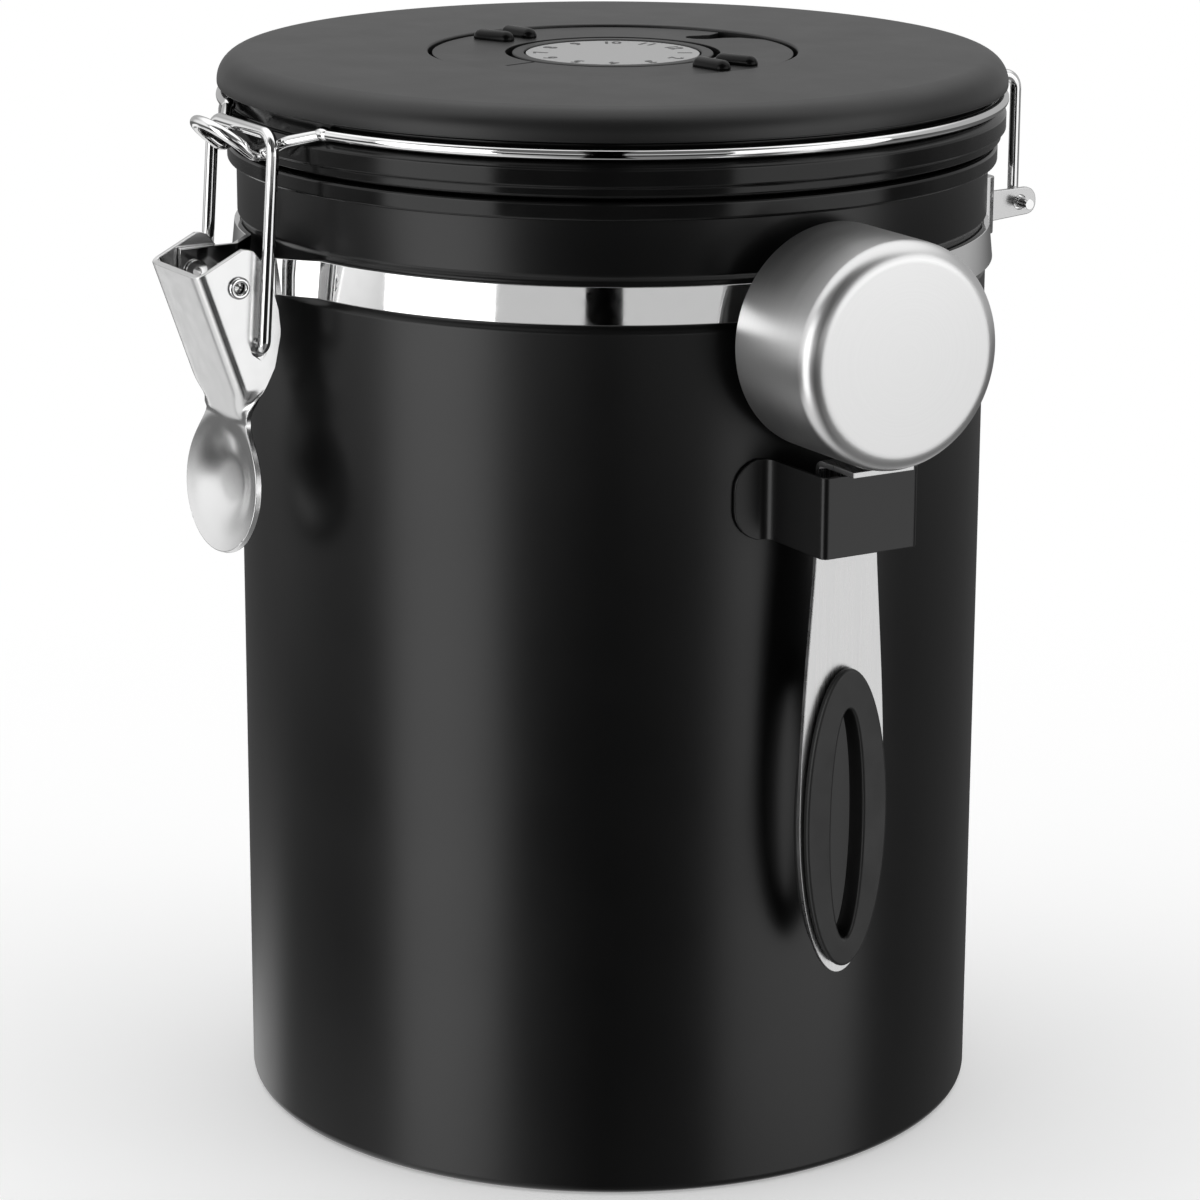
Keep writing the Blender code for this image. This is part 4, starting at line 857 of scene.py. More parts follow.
# %% Lever thickness and holes
BAIL_PIVOT = LEVER_PIVOT + Vector((0.0, 0.0033, -0.0100))
BAIL_WIRE = 0.0010
DRILL_REACH = 0.02
lever_bm = thicken(lever_bm, LEVER_SHEET)
for centre, radius in ((LEVER_PIVOT, EYELET_RADIUS + GAP), (BAIL_PIVOT, BAIL_WIRE + GAP)):
    drill = rod(radius, centre - X_AXIS * DRILL_REACH, centre + X_AXIS * DRILL_REACH)
    lever_bm = combine(lever_bm, drill, "DIFFERENCE")
settle("thumb_lever", lever_bm, lever_steel, "lever", "latch_lever",
       edge=0.00018, sharp=62.0, segments=3)

# %% [markdown]
# ## The bail
#
# One round wire, bent into a loop: its feet turn in through the lever's cheeks, and the bar
# across its top hooks under the tongue of the lid wire. It is bent from the middle of the bar
# to one foot and mirrored.

# %% Bail wire
BAIL_BAR = Vector((0.0, -0.0680, 0.1700))
BAIL_HALF_WIDTH = LEVER_HALF_WIDTH + GAP + EYELET_HEAD_SHEET + GAP + BAIL_WIRE
BAIL_CORNER = 0.0032
BAIL_FOOT_CORNER = 0.0018
BAIL_FOOT_LENGTH = 0.0038
bail = Bar(BAIL_BAR, X_AXIS, round_section(BAIL_WIRE, 24))
side = X_AXIS * BAIL_HALF_WIDTH
bail.follow([BAIL_BAR + side, BAIL_PIVOT + side, BAIL_PIVOT + side - X_AXIS * BAIL_FOOT_LENGTH],
            [BAIL_CORNER, BAIL_FOOT_CORNER])
mirror_half(bail.bm, "X")
settle("bail_loop", bail.bm, polished_steel, "bail", "bail_wire", edge=0.00015)

# %% [markdown]
# ## The lid wire
#
# One long wire starts as a hinge pin at the back, rises, runs round the groove of the lid and
# dips into a tongue at the front, which the bail's bar presses down. Half of it is bent, from
# the tip of the tongue to a hinge pin. Small lumps of weld sit where the tongue and the rear
# legs meet the ring.

# %% Lid wire
RING_WIRE = 0.00095
RING_RADIUS = 0.0646
RING_UP = 0.17065
TONGUE_SIDE = 0.0062
TONGUE_TIP = Vector((0.0, -0.0752, 0.1712))
TONGUE_FRONT = Vector((TONGUE_SIDE, -0.0692, 0.1663))
TONGUE_REAR = Vector((TONGUE_SIDE, -0.0674, 0.1663))
TONGUE_RISE = Vector((0.0110, -0.06585, 0.1689))
TONGUE_ROOT = math.radians(15.2)
TONGUE_RUN_ON = 0.0006
TONGUE_CORNERS = [0.0058, 0.0022, 0.0016, 0.0060, 0.0060]
RING_STEPS = 84
RING_STOP = 0.030
LEG_SIDE = 0.0080
LEG_OUT = 0.0024
LEG_CORNERS = [0.0015, 0.0030, 0.0026, 0.0014]
HINGE = Vector((0.0, 0.0770, 0.1467))
LEG_TOP = Vector((LEG_SIDE, HINGE.y, 0.16855))
PIN_END = 0.0132
WELD_RADIUS = RING_WIRE * 1.25
WELD_STRETCH = Matrix.Diagonal((1.0, 1.0, 1.6, 1.0))
root = Vector((RING_RADIUS * math.sin(TONGUE_ROOT), -RING_RADIUS * math.cos(TONGUE_ROOT), RING_UP))
root_heading = Vector((math.cos(TONGUE_ROOT), math.sin(TONGUE_ROOT), 0.0))
ring_wire = Bar(TONGUE_TIP, X_AXIS, round_section(RING_WIRE))
ring_wire.follow([TONGUE_TIP + X_AXIS * TONGUE_SIDE, TONGUE_FRONT, TONGUE_REAR, TONGUE_RISE, root,
                  root + root_heading * TONGUE_RUN_ON], TONGUE_CORNERS)
rear_turn = math.acos(LEG_SIDE / RING_RADIUS)
here_turn = math.atan2(ring_wire.place.y, ring_wire.place.x)
ring_wire.bend((0.0, 0.0, RING_UP), Z_AXIS, rear_turn - here_turn - RING_STOP, RING_STEPS)
leg_root = Vector((LEG_SIDE, RING_RADIUS * math.sin(rear_turn), RING_UP))
ring_wire.follow([leg_root, leg_root + Y_AXIS * LEG_OUT, LEG_TOP,
                  Vector((LEG_SIDE, HINGE.y, HINGE.z)), Vector((PIN_END, HINGE.y, HINGE.z))],
                 LEG_CORNERS)
miss = (ring_wire.place - HINGE - X_AXIS * PIN_END).length
print("pin end misses the hinge by", round(miss * 1000, 3), "mm")
for spot, heading in ((root, root_heading), (leg_root, X_AXIS)):
    turn = heading.to_track_quat("Z", "Y").to_matrix().to_4x4() @ WELD_STRETCH
    bmesh.ops.create_uvsphere(ring_wire.bm, u_segments=20, v_segments=12, radius=WELD_RADIUS,
                              matrix=Matrix.Translation(spot) @ turn)
mirror_half(ring_wire.bm, "X")
settle("ring_wire", ring_wire.bm, polished_steel, "lid", "lid_wire", edge=0.0001)

# %% [markdown]
# ## The hinge bracket
#
# A short channel stands on the strap at the back, and two ears on it hold the pins of the lid
# wire. The channel is bent like the strap, and the ears are plates welded to its face.

# %% Hinge bracket
BRACKET_HALF_WIDTH = 0.0120
BRACKET_HEIGHT = 0.0100
BRACKET_SHEET = 0.0012
BRACKET_ROOT = 0.0626
BRACKET_FACE = 0.0710
BRACKET_CORNER = 0.0014
REAR_EAR_MIDDLE = 0.0098
REAR_EAR_SHEET = 0.0010
REAR_EAR_TIP = 0.0034
REAR_EAR_CORNERS = [0.0, 0.0019, 0.0022, 0.0]
bracket_side = BRACKET_HALF_WIDTH - BRACKET_SHEET / 2.0
bracket_middle = BRACKET_FACE - BRACKET_SHEET / 2.0
bracket = Bar((bracket_side, BRACKET_ROOT, BAND_MIDDLE), Y_AXIS,
              strip_section(BRACKET_SHEET, BRACKET_HEIGHT))
bracket.follow([(bracket_side, bracket_middle, BAND_MIDDLE), (0.0, bracket_middle, BAND_MIDDLE)],
               [BRACKET_CORNER])
mirror_half(bracket.bm, "X")
bracket_bm = bracket.bm
rear_ear_root = bracket_middle - HINGE.y
rear_ear = [(rear_ear_root, -0.0029), (REAR_EAR_TIP, -0.0021), (REAR_EAR_TIP, 0.0026),
            (rear_ear_root, 0.0024)]
for side in (1.0, -1.0):
    ear = plate(rear_ear, REAR_EAR_CORNERS, REAR_EAR_SHEET,
                upright(HINGE + X_AXIS * side * REAR_EAR_MIDDLE))
    bracket_bm = combine(bracket_bm, ear, "UNION")
pin_hole = rod(RING_WIRE + GAP, HINGE - X_AXIS * DRILL_REACH, HINGE + X_AXIS * DRILL_REACH)
settle("rear_bracket", combine(bracket_bm, pin_hole, "DIFFERENCE"), satin_steel, "canister",
       "hinge_bracket", edge=0.00018)

# %% [markdown]
# ## The lid
#
# The lid has two mouldings. The cap is matte, with a rounded shoulder and a round pocket for
# the dial. The base below it is glossy: it has a flange, a neck where the wire lies, and a
# ring that drops into the jar.

# %% Lid cap
LID_RADIUS = 0.0654
LID_TOP = 0.1775
LID_ROUNDING = 0.0044
CAP_BOTTOM = 0.1724
CAP_WALL = 0.0025
CAP_TOP_WALL = 0.0023
CAP_FLOOR = 0.0020
POCKET_RADIUS = 0.0306
POCKET_UP = 0.1734
POCKET_WALL = 0.0024
PIN_RADIUS = 0.0020
cap_round_out = LID_RADIUS - LID_ROUNDING
cap_round_up = LID_TOP - LID_ROUNDING
cap_inner_round = LID_ROUNDING - CAP_TOP_WALL
cap_skirt = LID_RADIUS - CAP_WALL
cap_profile = [(PIN_RADIUS + GAP, POCKET_UP), (POCKET_RADIUS, POCKET_UP), (POCKET_RADIUS, LID_TOP)]
cap_profile += arc(cap_round_out, cap_round_up, LID_ROUNDING, 90.0, 0.0, 14)
cap_profile += [(LID_RADIUS, CAP_BOTTOM), (cap_skirt, CAP_BOTTOM)]
cap_profile += arc(cap_skirt - cap_inner_round, cap_round_up, cap_inner_round, 0.0, 90.0, 5)
cap_profile += [
    (POCKET_RADIUS + POCKET_WALL, cap_round_up + cap_inner_round),
    (POCKET_RADIUS + POCKET_WALL, POCKET_UP - CAP_FLOOR),
    (PIN_RADIUS + GAP, POCKET_UP - CAP_FLOOR),
]
settle("lid_top", spin_profile(cap_profile), matte_black, "lid", "lid_cap",
       edge=0.0004, segments=3)

# %% [markdown]
# The base is one turned profile as well. From the valve's hole it runs out along the plate and
# up behind the cap's skirt, down past the neck of the wire and the flange, and back in over the
# seat of the seal and round the ring that drops into the jar.

# %% Lid base
FLANGE_RADIUS = 0.0652
FLANGE_TOP = 0.1694
FLANGE_FOOT = 0.1657
FLANGE_CHAMFER = 0.0010
FLANGE_STEP = 0.0008
WIRE_NECK = 0.0632
LID_SEAT = 0.1638
SEAL_HEIGHT = 0.0011
SEAL_WIDTH = 0.0048
SEAL_OUT = BODY_RADIUS + GAP
SEAL_IN = SEAL_OUT - SEAL_WIDTH
LOCATOR_RADIUS = 0.0565
LOCATOR_WALL = 0.0016
LOCATOR_FOOT = 0.1600
PLATE_TOP = 0.1671
PLATE = 0.0018
VALVE_HOLE = 0.0090
SPIGOT_WALL = 0.0020
SPIGOT_RISE = 0.0009
spigot = cap_skirt - GAP
seal_roof = LID_SEAT + SEAL_HEIGHT + GAP
settle("lid_underside", spin_profile([
    (VALVE_HOLE, PLATE_TOP),
    (spigot - SPIGOT_WALL, PLATE_TOP),
    (spigot - SPIGOT_WALL, CAP_BOTTOM - GAP + SPIGOT_RISE),
    (spigot, CAP_BOTTOM - GAP + SPIGOT_RISE),
    (spigot, CAP_BOTTOM - GAP),
    (WIRE_NECK, CAP_BOTTOM - GAP),
    (WIRE_NECK, FLANGE_TOP),
    (FLANGE_RADIUS - FLANGE_CHAMFER, FLANGE_TOP),
    (FLANGE_RADIUS, FLANGE_TOP - FLANGE_CHAMFER),
    (FLANGE_RADIUS, FLANGE_FOOT),
    (FLANGE_RADIUS - FLANGE_STEP, FLANGE_FOOT - GAP),
    (FLANGE_RADIUS - FLANGE_STEP, LID_SEAT + GAP),
    (SEAL_OUT + GAP, LID_SEAT + GAP),
    (SEAL_OUT + GAP, seal_roof),
    (SEAL_IN - GAP, seal_roof),
    (SEAL_IN - GAP, LID_SEAT + GAP),
    (LOCATOR_RADIUS, LID_SEAT + GAP),
    (LOCATOR_RADIUS, LOCATOR_FOOT),
    (LOCATOR_RADIUS - LOCATOR_WALL, LOCATOR_FOOT),
    (LOCATOR_RADIUS - LOCATOR_WALL, PLATE_TOP - PLATE),
    (VALVE_HOLE, PLATE_TOP - PLATE),
]), gloss_black, "lid", "lid_base", edge=0.00025, segments=3)

# %% [markdown]
# ## The date dial
#
# Two pieces turn in the pocket. The outer ring is a plain turned piece, with a curved notch in
# its edge, where a nail can lift it, and a short index line. Both are cut into its top. The
# notch is a plate whose corners are given as an angle round the dial and a distance from its
# axis, because that is how they were measured.

# %% Day ring
DIAL_STEPS = 128


def turn_about(degrees, out):
    """A point at a distance from the dial's axis, turned about it."""
    return out * math.cos(math.radians(degrees)), out * math.sin(math.radians(degrees))


DAY_OUT = 0.0299
DAY_IN = 0.0178
DAY_UNDER = POCKET_UP + GAP
DAY_TOP = 0.1771
NOTCH_DEPTH = 0.0022
NOTCH = [(116.0, 0.0228), (113.5, 0.0244), (110.5, 0.0266), (112.0, 0.0308), (86.0, 0.0308),
         (92.0, 0.0293), (98.0, 0.0278), (101.5, 0.0252), (103.0, 0.0224), (107.0, 0.0210),
         (113.0, 0.0211)]
NOTCH_ROUNDING = [0.0009, 0.0012, 0.0018, 0.0, 0.0, 0.003, 0.0016, 0.0016, 0.001, 0.0012, 0.0009]
MARK_TURN = -77.0
MARK_WIDTH = 0.0006
MARK_DEPTH = 0.0004
MARK_END = 0.0236
ring_bm = spin_profile([(DAY_IN, DAY_TOP), (DAY_OUT, DAY_TOP), (DAY_OUT, DAY_UNDER), (DAY_IN, DAY_UNDER)],
                       steps=DIAL_STEPS)
corners = [turn_about(degrees, out) for degrees, out in NOTCH]
notch = plate(corners, NOTCH_ROUNDING, 2.0 * NOTCH_DEPTH, Matrix.Translation((0.0, 0.0, DAY_TOP)))
ring_bm = combine(ring_bm, notch, "DIFFERENCE")
mark = bmesh.new()
bmesh.ops.create_cube(mark, size=1.0, matrix=Matrix.Rotation(math.radians(MARK_TURN), 4, "Z")
                      @ Matrix.Translation(((DAY_IN + MARK_END) / 2.0, 0.0, DAY_TOP))
                      @ Matrix.Diagonal((MARK_END - DAY_IN + 2.0 * GAP, MARK_WIDTH, 2.0 * MARK_DEPTH, 1.0)))
ring_bm = combine(ring_bm, mark, "DIFFERENCE")
settle("date_ring", ring_bm, dial_black, "day_dial", "day_ring", edge=0.00012)

# %% [markdown]
# Two pairs of raised ribs push the ring round. Each is a capsule that lies half sunk in it: an
# outline spun about its own length, laid down and turned to its place. The ribs have a darker
# skin than the ring, so they are a piece of their own that stands for the same node.

# %% Ribs of the day ring
RIB_OUT = 0.0243
RIB_LENGTH = 0.0078
RIB_RADIUS = 0.0014
RIB_TOP = 0.1787
RIB_TURNS = (10.0, 24.6, 190.0, 204.6)
RIB_STEPS = 32
rib_end = RIB_LENGTH / 2.0 - RIB_RADIUS
rib_profile = arc(0.0, rib_end, RIB_RADIUS, 90.0, 0.0, 8) + arc(0.0, -rib_end, RIB_RADIUS, 0.0, -90.0, 8)
rib_middle = Matrix.Translation((RIB_OUT, 0.0, RIB_TOP - RIB_RADIUS))
ribs = bmesh.new()
for degrees in RIB_TURNS:
    rib = spin_profile([(abs(out), up) for out, up in rib_profile], steps=RIB_STEPS, closed=False)
    place = Matrix.Rotation(math.radians(degrees), 4, "Z") @ rib_middle
    bmesh.ops.transform(rib, matrix=place @ Matrix.Rotation(math.pi / 2.0, 4, "Y"), verts=rib.verts)
    add_to(ribs, rib)
settle("date_ring_ribs", ribs, rib_black, "day_dial", "day_ring")

# %% [markdown]
# The inner knob has a bezel round a silver label of thin foil. Its underside has a socket for
# the pin that it turns on. The middle of the label is left bare.

# %% Month knob and label
KNOB_RADIUS = 0.0167
KNOB_BEZEL = 0.0020
KNOB_TOP = 0.1771
KNOB_SOCKET = 0.0018
LABEL_SHEET = 0.0004
LABEL_SUNK = 0.0002
bezel = KNOB_RADIUS - KNOB_BEZEL
label_top = KNOB_TOP - LABEL_SUNK
settle("month_dial_knob", spin_profile([
    (0.0, label_top - LABEL_SHEET - GAP),
    (bezel, label_top - LABEL_SHEET - GAP),
    (bezel, KNOB_TOP),
    (KNOB_RADIUS, KNOB_TOP),
    (KNOB_RADIUS, DAY_UNDER),
    (PIN_RADIUS + GAP, DAY_UNDER),
    (PIN_RADIUS + GAP, POCKET_UP + KNOB_SOCKET),
    (0.0, POCKET_UP + KNOB_SOCKET),
], steps=DIAL_STEPS, closed=False), dial_black, "month_dial", "month_knob",
       edge=0.0003, segments=3)
label_radius = bezel - GAP
settle("month_label", spin_profile([
    (0.0, label_top),
    (label_radius, label_top),
    (label_radius, label_top - LABEL_SHEET),
    (0.0, label_top - LABEL_SHEET),
], steps=DIAL_STEPS, closed=False), silver_foil, "month_dial", "month_face",
       edge=0.00005)

# %% [markdown]
# The months are printed as plain figures, with their feet towards the middle. A text curve is
# given a little weight, by moving its outline out, and a thin layer of ink. It becomes a mesh
# before it is turned to its place. Some outlines cross themselves when they are moved too far,
# which leaves a figure open, so the weight is one at which all twelve stay closed.

# %% Month figures
FIGURE_SIZE = 0.0034
FIGURE_OUT = 0.0118
FIGURE_BOLD = 0.00007
FIGURE_INK = 0.00004
figures = bmesh.new()
for month in range(1, 13):
    curve = bpy.data.curves.new("figure", "FONT")
    curve.body = str(month)
    curve.size = FIGURE_SIZE
    curve.align_x = "CENTER"
    curve.align_y = "CENTER"
    curve.offset = FIGURE_BOLD
    curve.extrude = FIGURE_INK / 2.0
    guide = bpy.data.objects.new("figure", curve)
    bpy.context.scene.collection.objects.link(guide)
    drawn = guide.evaluated_get(bpy.context.evaluated_depsgraph_get())
    inked = bpy.data.meshes.new_from_object(drawn)
    bpy.data.objects.remove(guide)
    bpy.data.curves.remove(curve)
    turn = Matrix.Rotation(-math.tau * month / 12.0, 4, "Z")
    inked.transform(turn @ Matrix.Translation((0.0, FIGURE_OUT, label_top + FIGURE_INK / 2.0)))
    figures.from_mesh(inked)
    bpy.data.meshes.remove(inked)
settle("month_figures", figures, dark_ink, "month_dial", None)

# %% [markdown]
# ## The scoop's clip
#
# A coated strip is folded into a flat sleeve, with two rounded wings that lie on the jar. Half
# of it is bent and mirrored. The wings are trimmed to round ends by keeping only what falls
# inside a rounded block.

# %% Scoop clip
CLIP_MIDDLE = 0.11565
CLIP_HEIGHT = 0.0129
CLIP_SHEET = 0.0006
CLIP_SIDE = 0.0086
CLIP_FRONT = 0.0777
CLIP_WING = 0.0145
CLIP_WING_CORNER = 0.0050
CLIP_CORNERS = [0.0022, 0.0009]
CLIP_ROOT = 0.0021
WING_SPARE = 0.0010
TRIM_SPARE = 0.0002
BLOCK_OUT = 0.0100
BLOCK_DEPTH = 0.05
wing_radius = BODY_RADIUS + GAP + CLIP_SHEET / 2.0
wing_turn = math.asin((CLIP_WING + WING_SPARE) / wing_radius)
side_turn = math.asin((CLIP_SIDE + CLIP_ROOT) / wing_radius)
side_root = Vector((math.sqrt(wing_radius ** 2 - CLIP_SIDE ** 2), CLIP_SIDE, CLIP_MIDDLE))
clip = Bar((wing_radius * math.cos(wing_turn), wing_radius * math.sin(wing_turn), CLIP_MIDDLE),
           (math.sin(wing_turn), -math.cos(wing_turn), 0.0), strip_section(CLIP_SHEET, CLIP_HEIGHT))
clip.bend((0.0, 0.0, CLIP_MIDDLE), Z_AXIS, side_turn - wing_turn, 6)
clip.follow([side_root, (CLIP_FRONT, CLIP_SIDE, CLIP_MIDDLE), (CLIP_FRONT, 0.0, CLIP_MIDDLE)],
            CLIP_CORNERS)
mirror_half(clip.bm, "Y")
half_height = CLIP_HEIGHT / 2.0 + TRIM_SPARE
block = plate([(-CLIP_WING, -half_height), (CLIP_WING, -half_height), (CLIP_WING, half_height),
               (-CLIP_WING, half_height)], [CLIP_WING_CORNER] * 4, BLOCK_DEPTH,
              upright((BODY_RADIUS + BLOCK_OUT, 0.0, CLIP_MIDDLE)))
settle("handle_clip", combine(clip.bm, block, "INTERSECT"), powder_coat, "canister", "scoop_clip",
       edge=0.00015)

# %% [markdown]
# ## The scoop
#
# A drawn steel cup is welded to a flat handle that bends under it. The cup is spun and laid on
# its side with its mouth towards the jar.

# %% Scoop cup
CUP_STEPS = 128
CUP_RADIUS = 0.0178
CUP_WALL = 0.0008
CUP_DEPTH = 0.0204
CUP_MOUTH = 0.0661
CUP_ROUNDING = 0.0032
cup_round = CUP_RADIUS - CUP_ROUNDING
cup_bm = spin_profile(
    [(0.0, CUP_WALL)] + arc(cup_round, CUP_ROUNDING, CUP_ROUNDING - CUP_WALL, -90.0, 0.0, 8)
    + [(CUP_RADIUS - CUP_WALL, CUP_DEPTH), (CUP_RADIUS, CUP_DEPTH)]
    + arc(cup_round, CUP_ROUNDING, CUP_ROUNDING, 0.0, -90.0, 10) + [(0.0, 0.0)],
    steps=CUP_STEPS, closed=False)
cup_place = Matrix.Translation((CUP_MOUTH + CUP_DEPTH, 0.0, CUP_CENTRE_UP))
cup_place = cup_place @ Matrix.Rotation(-math.pi / 2.0, 4, "Y")
bmesh.ops.transform(cup_bm, matrix=cup_place, verts=cup_bm.verts)
settle("measuring_cup", cup_bm, cup_steel, "scoop", "scoop_cup", edge=0.0002)

# %% [markdown]
# The handle is one strip. It swells towards its lower end, where an oval slot takes the grip,
# and its top is bent outwards under the cup. The flat part is an outline with a thickness, and
# the bent top is fed like the wires. They meet face to face: the two faces are deleted and
# their corners merged, because two shapes that overlap in one plane leave slivers.

# %% Outline of the scoop's handle
HANDLE_OUT = 0.0710
HANDLE_SHEET = 0.0009
HANDLE_TOP = 0.12285
HANDLE_TIP = 0.0810
HANDLE_TOP_HALF = 0.0056
HANDLE_WIDE_HALF = 0.0079
HANDLE_WIDE_UP = 0.0650
HANDLE_STRAIGHT_UP = 0.1092
HANDLE_END = 0.0384
HANDLE_SWELL = 1.2
SWELL_STEPS = 12
END_STEPS = 18
handle_side = []
for index in range(SWELL_STEPS + 1):
    share = index / SWELL_STEPS
    swell = math.sin(math.pi / 2.0 * share) ** HANDLE_SWELL
    wide = HANDLE_TOP_HALF + (HANDLE_WIDE_HALF - HANDLE_TOP_HALF) * swell
    handle_side.append((wide, HANDLE_STRAIGHT_UP + (HANDLE_WIDE_UP - HANDLE_STRAIGHT_UP) * share))
for index in range(1, END_STEPS):
    angle = math.pi / 2.0 * index / END_STEPS
    handle_side.append((HANDLE_WIDE_HALF * math.cos(angle),
                        HANDLE_WIDE_UP - (HANDLE_WIDE_UP - HANDLE_END) * math.sin(angle)))
outline = [(across, up) for across, up in handle_side] + [(0.0, HANDLE_END)]
outline += [(-across, up) for across, up in reversed(handle_side)]

# %% Scoop handle
SLOT_HALF = 0.0030
SLOT_TOP = 0.0827
SLOT_FOOT = 0.0446
SLEEVE_WALL = 0.0012
CUTTER_DEPTH = 0.01
HANDLE_CORNER = 0.0012
JOINT_MERGE = 2e-6
handle_bm = plate(outline, [0.0] * len(outline), HANDLE_SHEET, upright((HANDLE_OUT, 0.0, 0.0)))
opening = SLEEVE_WALL + GAP
handle_slot = oval_plate(SLOT_HALF + opening, SLOT_TOP + opening, SLOT_FOOT - opening, CUTTER_DEPTH,
                         HANDLE_OUT)
handle_bm = combine(handle_bm, handle_slot, "DIFFERENCE")
handle_top = Bar((HANDLE_TIP, 0.0, HANDLE_TOP), -X_AXIS,
                 strip_section(2.0 * HANDLE_TOP_HALF, HANDLE_SHEET))
handle_top.follow([(HANDLE_OUT, 0.0, HANDLE_TOP), (HANDLE_OUT, 0.0, HANDLE_STRAIGHT_UP)],
                  [HANDLE_CORNER])
bmesh.ops.delete(handle_top.bm, geom=[handle_top.end], context="FACES_ONLY")
joint = [face for face in handle_bm.faces
         if all(abs(vert.co.z - HANDLE_STRAIGHT_UP) < ON_PLANE for vert in face.verts)]
bmesh.ops.delete(handle_bm, geom=joint, context="FACES_ONLY")
add_to(handle_bm, handle_top.bm)
bmesh.ops.remove_doubles(handle_bm, verts=handle_bm.verts, dist=JOINT_MERGE)
open_edges = [edge for edge in handle_bm.edges if not edge.is_manifold]
print("faces at the joint:", len(joint), "open edges left:", len(open_edges))
settle("scoop_strip", handle_bm, brushed_steel, "scoop", "scoop_handle", edge=0.0001)

# %% [markdown]
# The grip is soft silicone moulded through and round the handle's slot: a rounded pad on each
# face and a sleeve between them. Three oval blocks are joined, and a wide bevel gives them the
# soft edges of a moulding.

# %% Scoop grip
GRIP_HALF = 0.0076
GRIP_TOP = 0.0893
GRIP_FOOT = 0.0399
GRIP_PROUD = 0.0014
pad_out = HANDLE_SHEET / 2.0 + GAP + GRIP_PROUD / 2.0
grip_bm = oval_plate(GRIP_HALF, GRIP_TOP, GRIP_FOOT, GRIP_PROUD, HANDLE_OUT + pad_out)
grip_sleeve = oval_plate(SLOT_HALF + SLEEVE_WALL, SLOT_TOP + SLEEVE_WALL, SLOT_FOOT - SLEEVE_WALL,
                         2.0 * pad_out, HANDLE_OUT)
grip_bm = combine(grip_bm, grip_sleeve, "UNION")
inner_pad = oval_plate(GRIP_HALF, GRIP_TOP, GRIP_FOOT, GRIP_PROUD, HANDLE_OUT - pad_out)
grip_bm = combine(grip_bm, inner_pad, "UNION")
grip_slot = oval_plate(SLOT_HALF, SLOT_TOP, SLOT_FOOT, CUTTER_DEPTH, HANDLE_OUT)
grip_bm = combine(grip_bm, grip_slot, "DIFFERENCE")
settle("soft_grip", grip_bm, silicone, "scoop", "scoop_grip", edge=0.0005, segments=4)

# %% [markdown]
# ## Inside the lid
#
# A one-way valve sits in the middle of the lid: a cup, a silicone flap and a vented cap. They
# are seen when the lid is open, so they are turned finely too. Each keeps a small gap to the
# next, as the solids do.

# %% Valve
VALVE_STEPS = 96
VALVE_LIP = 0.0110
VALVE_LIP_SHEET = 0.0010
VALVE_DEPTH = 0.0056
VALVE_WALL = 0.0012
VALVE_PORT = 0.0025
FLAP_RADIUS = 0.0056
FLAP_SHEET = 0.0008
VENT_BORE = 0.0020
VENT_STEM = 0.0032
VENT_SHEET = 0.0014
valve_shoulder = PLATE_TOP + GAP
valve_top = valve_shoulder + VALVE_LIP_SHEET
valve_foot = valve_shoulder - VALVE_DEPTH
valve_floor = valve_foot + VALVE_WALL
valve_out = VALVE_HOLE - GAP
valve_in = valve_out - VALVE_WALL
settle("valve_cup", spin_profile([
    (VALVE_LIP, valve_top), (VALVE_LIP, valve_shoulder), (valve_out, valve_shoulder),
    (valve_out, valve_foot), (VALVE_PORT, valve_foot), (VALVE_PORT, valve_floor),
    (valve_in, valve_floor), (valve_in, valve_top),
], steps=VALVE_STEPS), gloss_black, "lid", "valve_body", edge=0.0002)
flap_under = valve_floor + GAP
flap_top = flap_under + FLAP_SHEET
settle("valve_disc", spin_profile([
    (0.0, flap_top), (FLAP_RADIUS, flap_top), (FLAP_RADIUS, flap_under), (0.0, flap_under),
], steps=VALVE_STEPS, closed=False), silicone, "lid", "valve_flap", edge=0.00015)
settle("valve_vent", spin_profile([
    (VENT_BORE, valve_top), (valve_in - GAP, valve_top), (valve_in - GAP, valve_top - VENT_SHEET),
    (VENT_STEM, valve_top - VENT_SHEET), (VENT_STEM, flap_top + GAP), (VENT_BORE, flap_top + GAP),
], steps=VALVE_STEPS), gloss_black, "lid", "valve_cap", edge=0.0002)

# %% [markdown]
# The seal is a flat silicone ring in its groove under the lid, and shows when the lid is open.
# The dial's pin stands in the floor of the pocket. The knob turns on it, and its head lies
# under that floor.

# %% Seal and dial pin
STUD_STEPS = 48
STUD_RISE = 0.0015
STUD_HEAD = 0.0034
STUD_HEAD_SHEET = 0.0008
settle("lid_seal", spin_profile([
    (SEAL_OUT, LID_SEAT + SEAL_HEIGHT - GAP), (SEAL_OUT, LID_SEAT - GAP),
    (SEAL_IN, LID_SEAT - GAP), (SEAL_IN, LID_SEAT + SEAL_HEIGHT - GAP),
]), silicone, "lid", "lid_gasket", edge=0.0003, segments=3)
pin_head = POCKET_UP - CAP_FLOOR - GAP
settle("dial_stud", spin_profile([
    (0.0, POCKET_UP + STUD_RISE), (PIN_RADIUS, POCKET_UP + STUD_RISE), (PIN_RADIUS, pin_head),
    (STUD_HEAD, pin_head), (STUD_HEAD, pin_head - STUD_HEAD_SHEET),
    (0.0, pin_head - STUD_HEAD_SHEET),
], steps=STUD_STEPS, closed=False), matte_black, "lid", "dial_pin", edge=0.0002)

# %% [markdown]
# ## Floor and background
#
# The jar stands on a plain pale floor that takes its soft shadow. Camera rays add a little
# light to the floor and fade it to plain white further out, where it meets the background. The
# studio around the jar is drawn on the world instead, so the floor is left out of reflections
# and lets the softboxes shine past it, as a small table does.

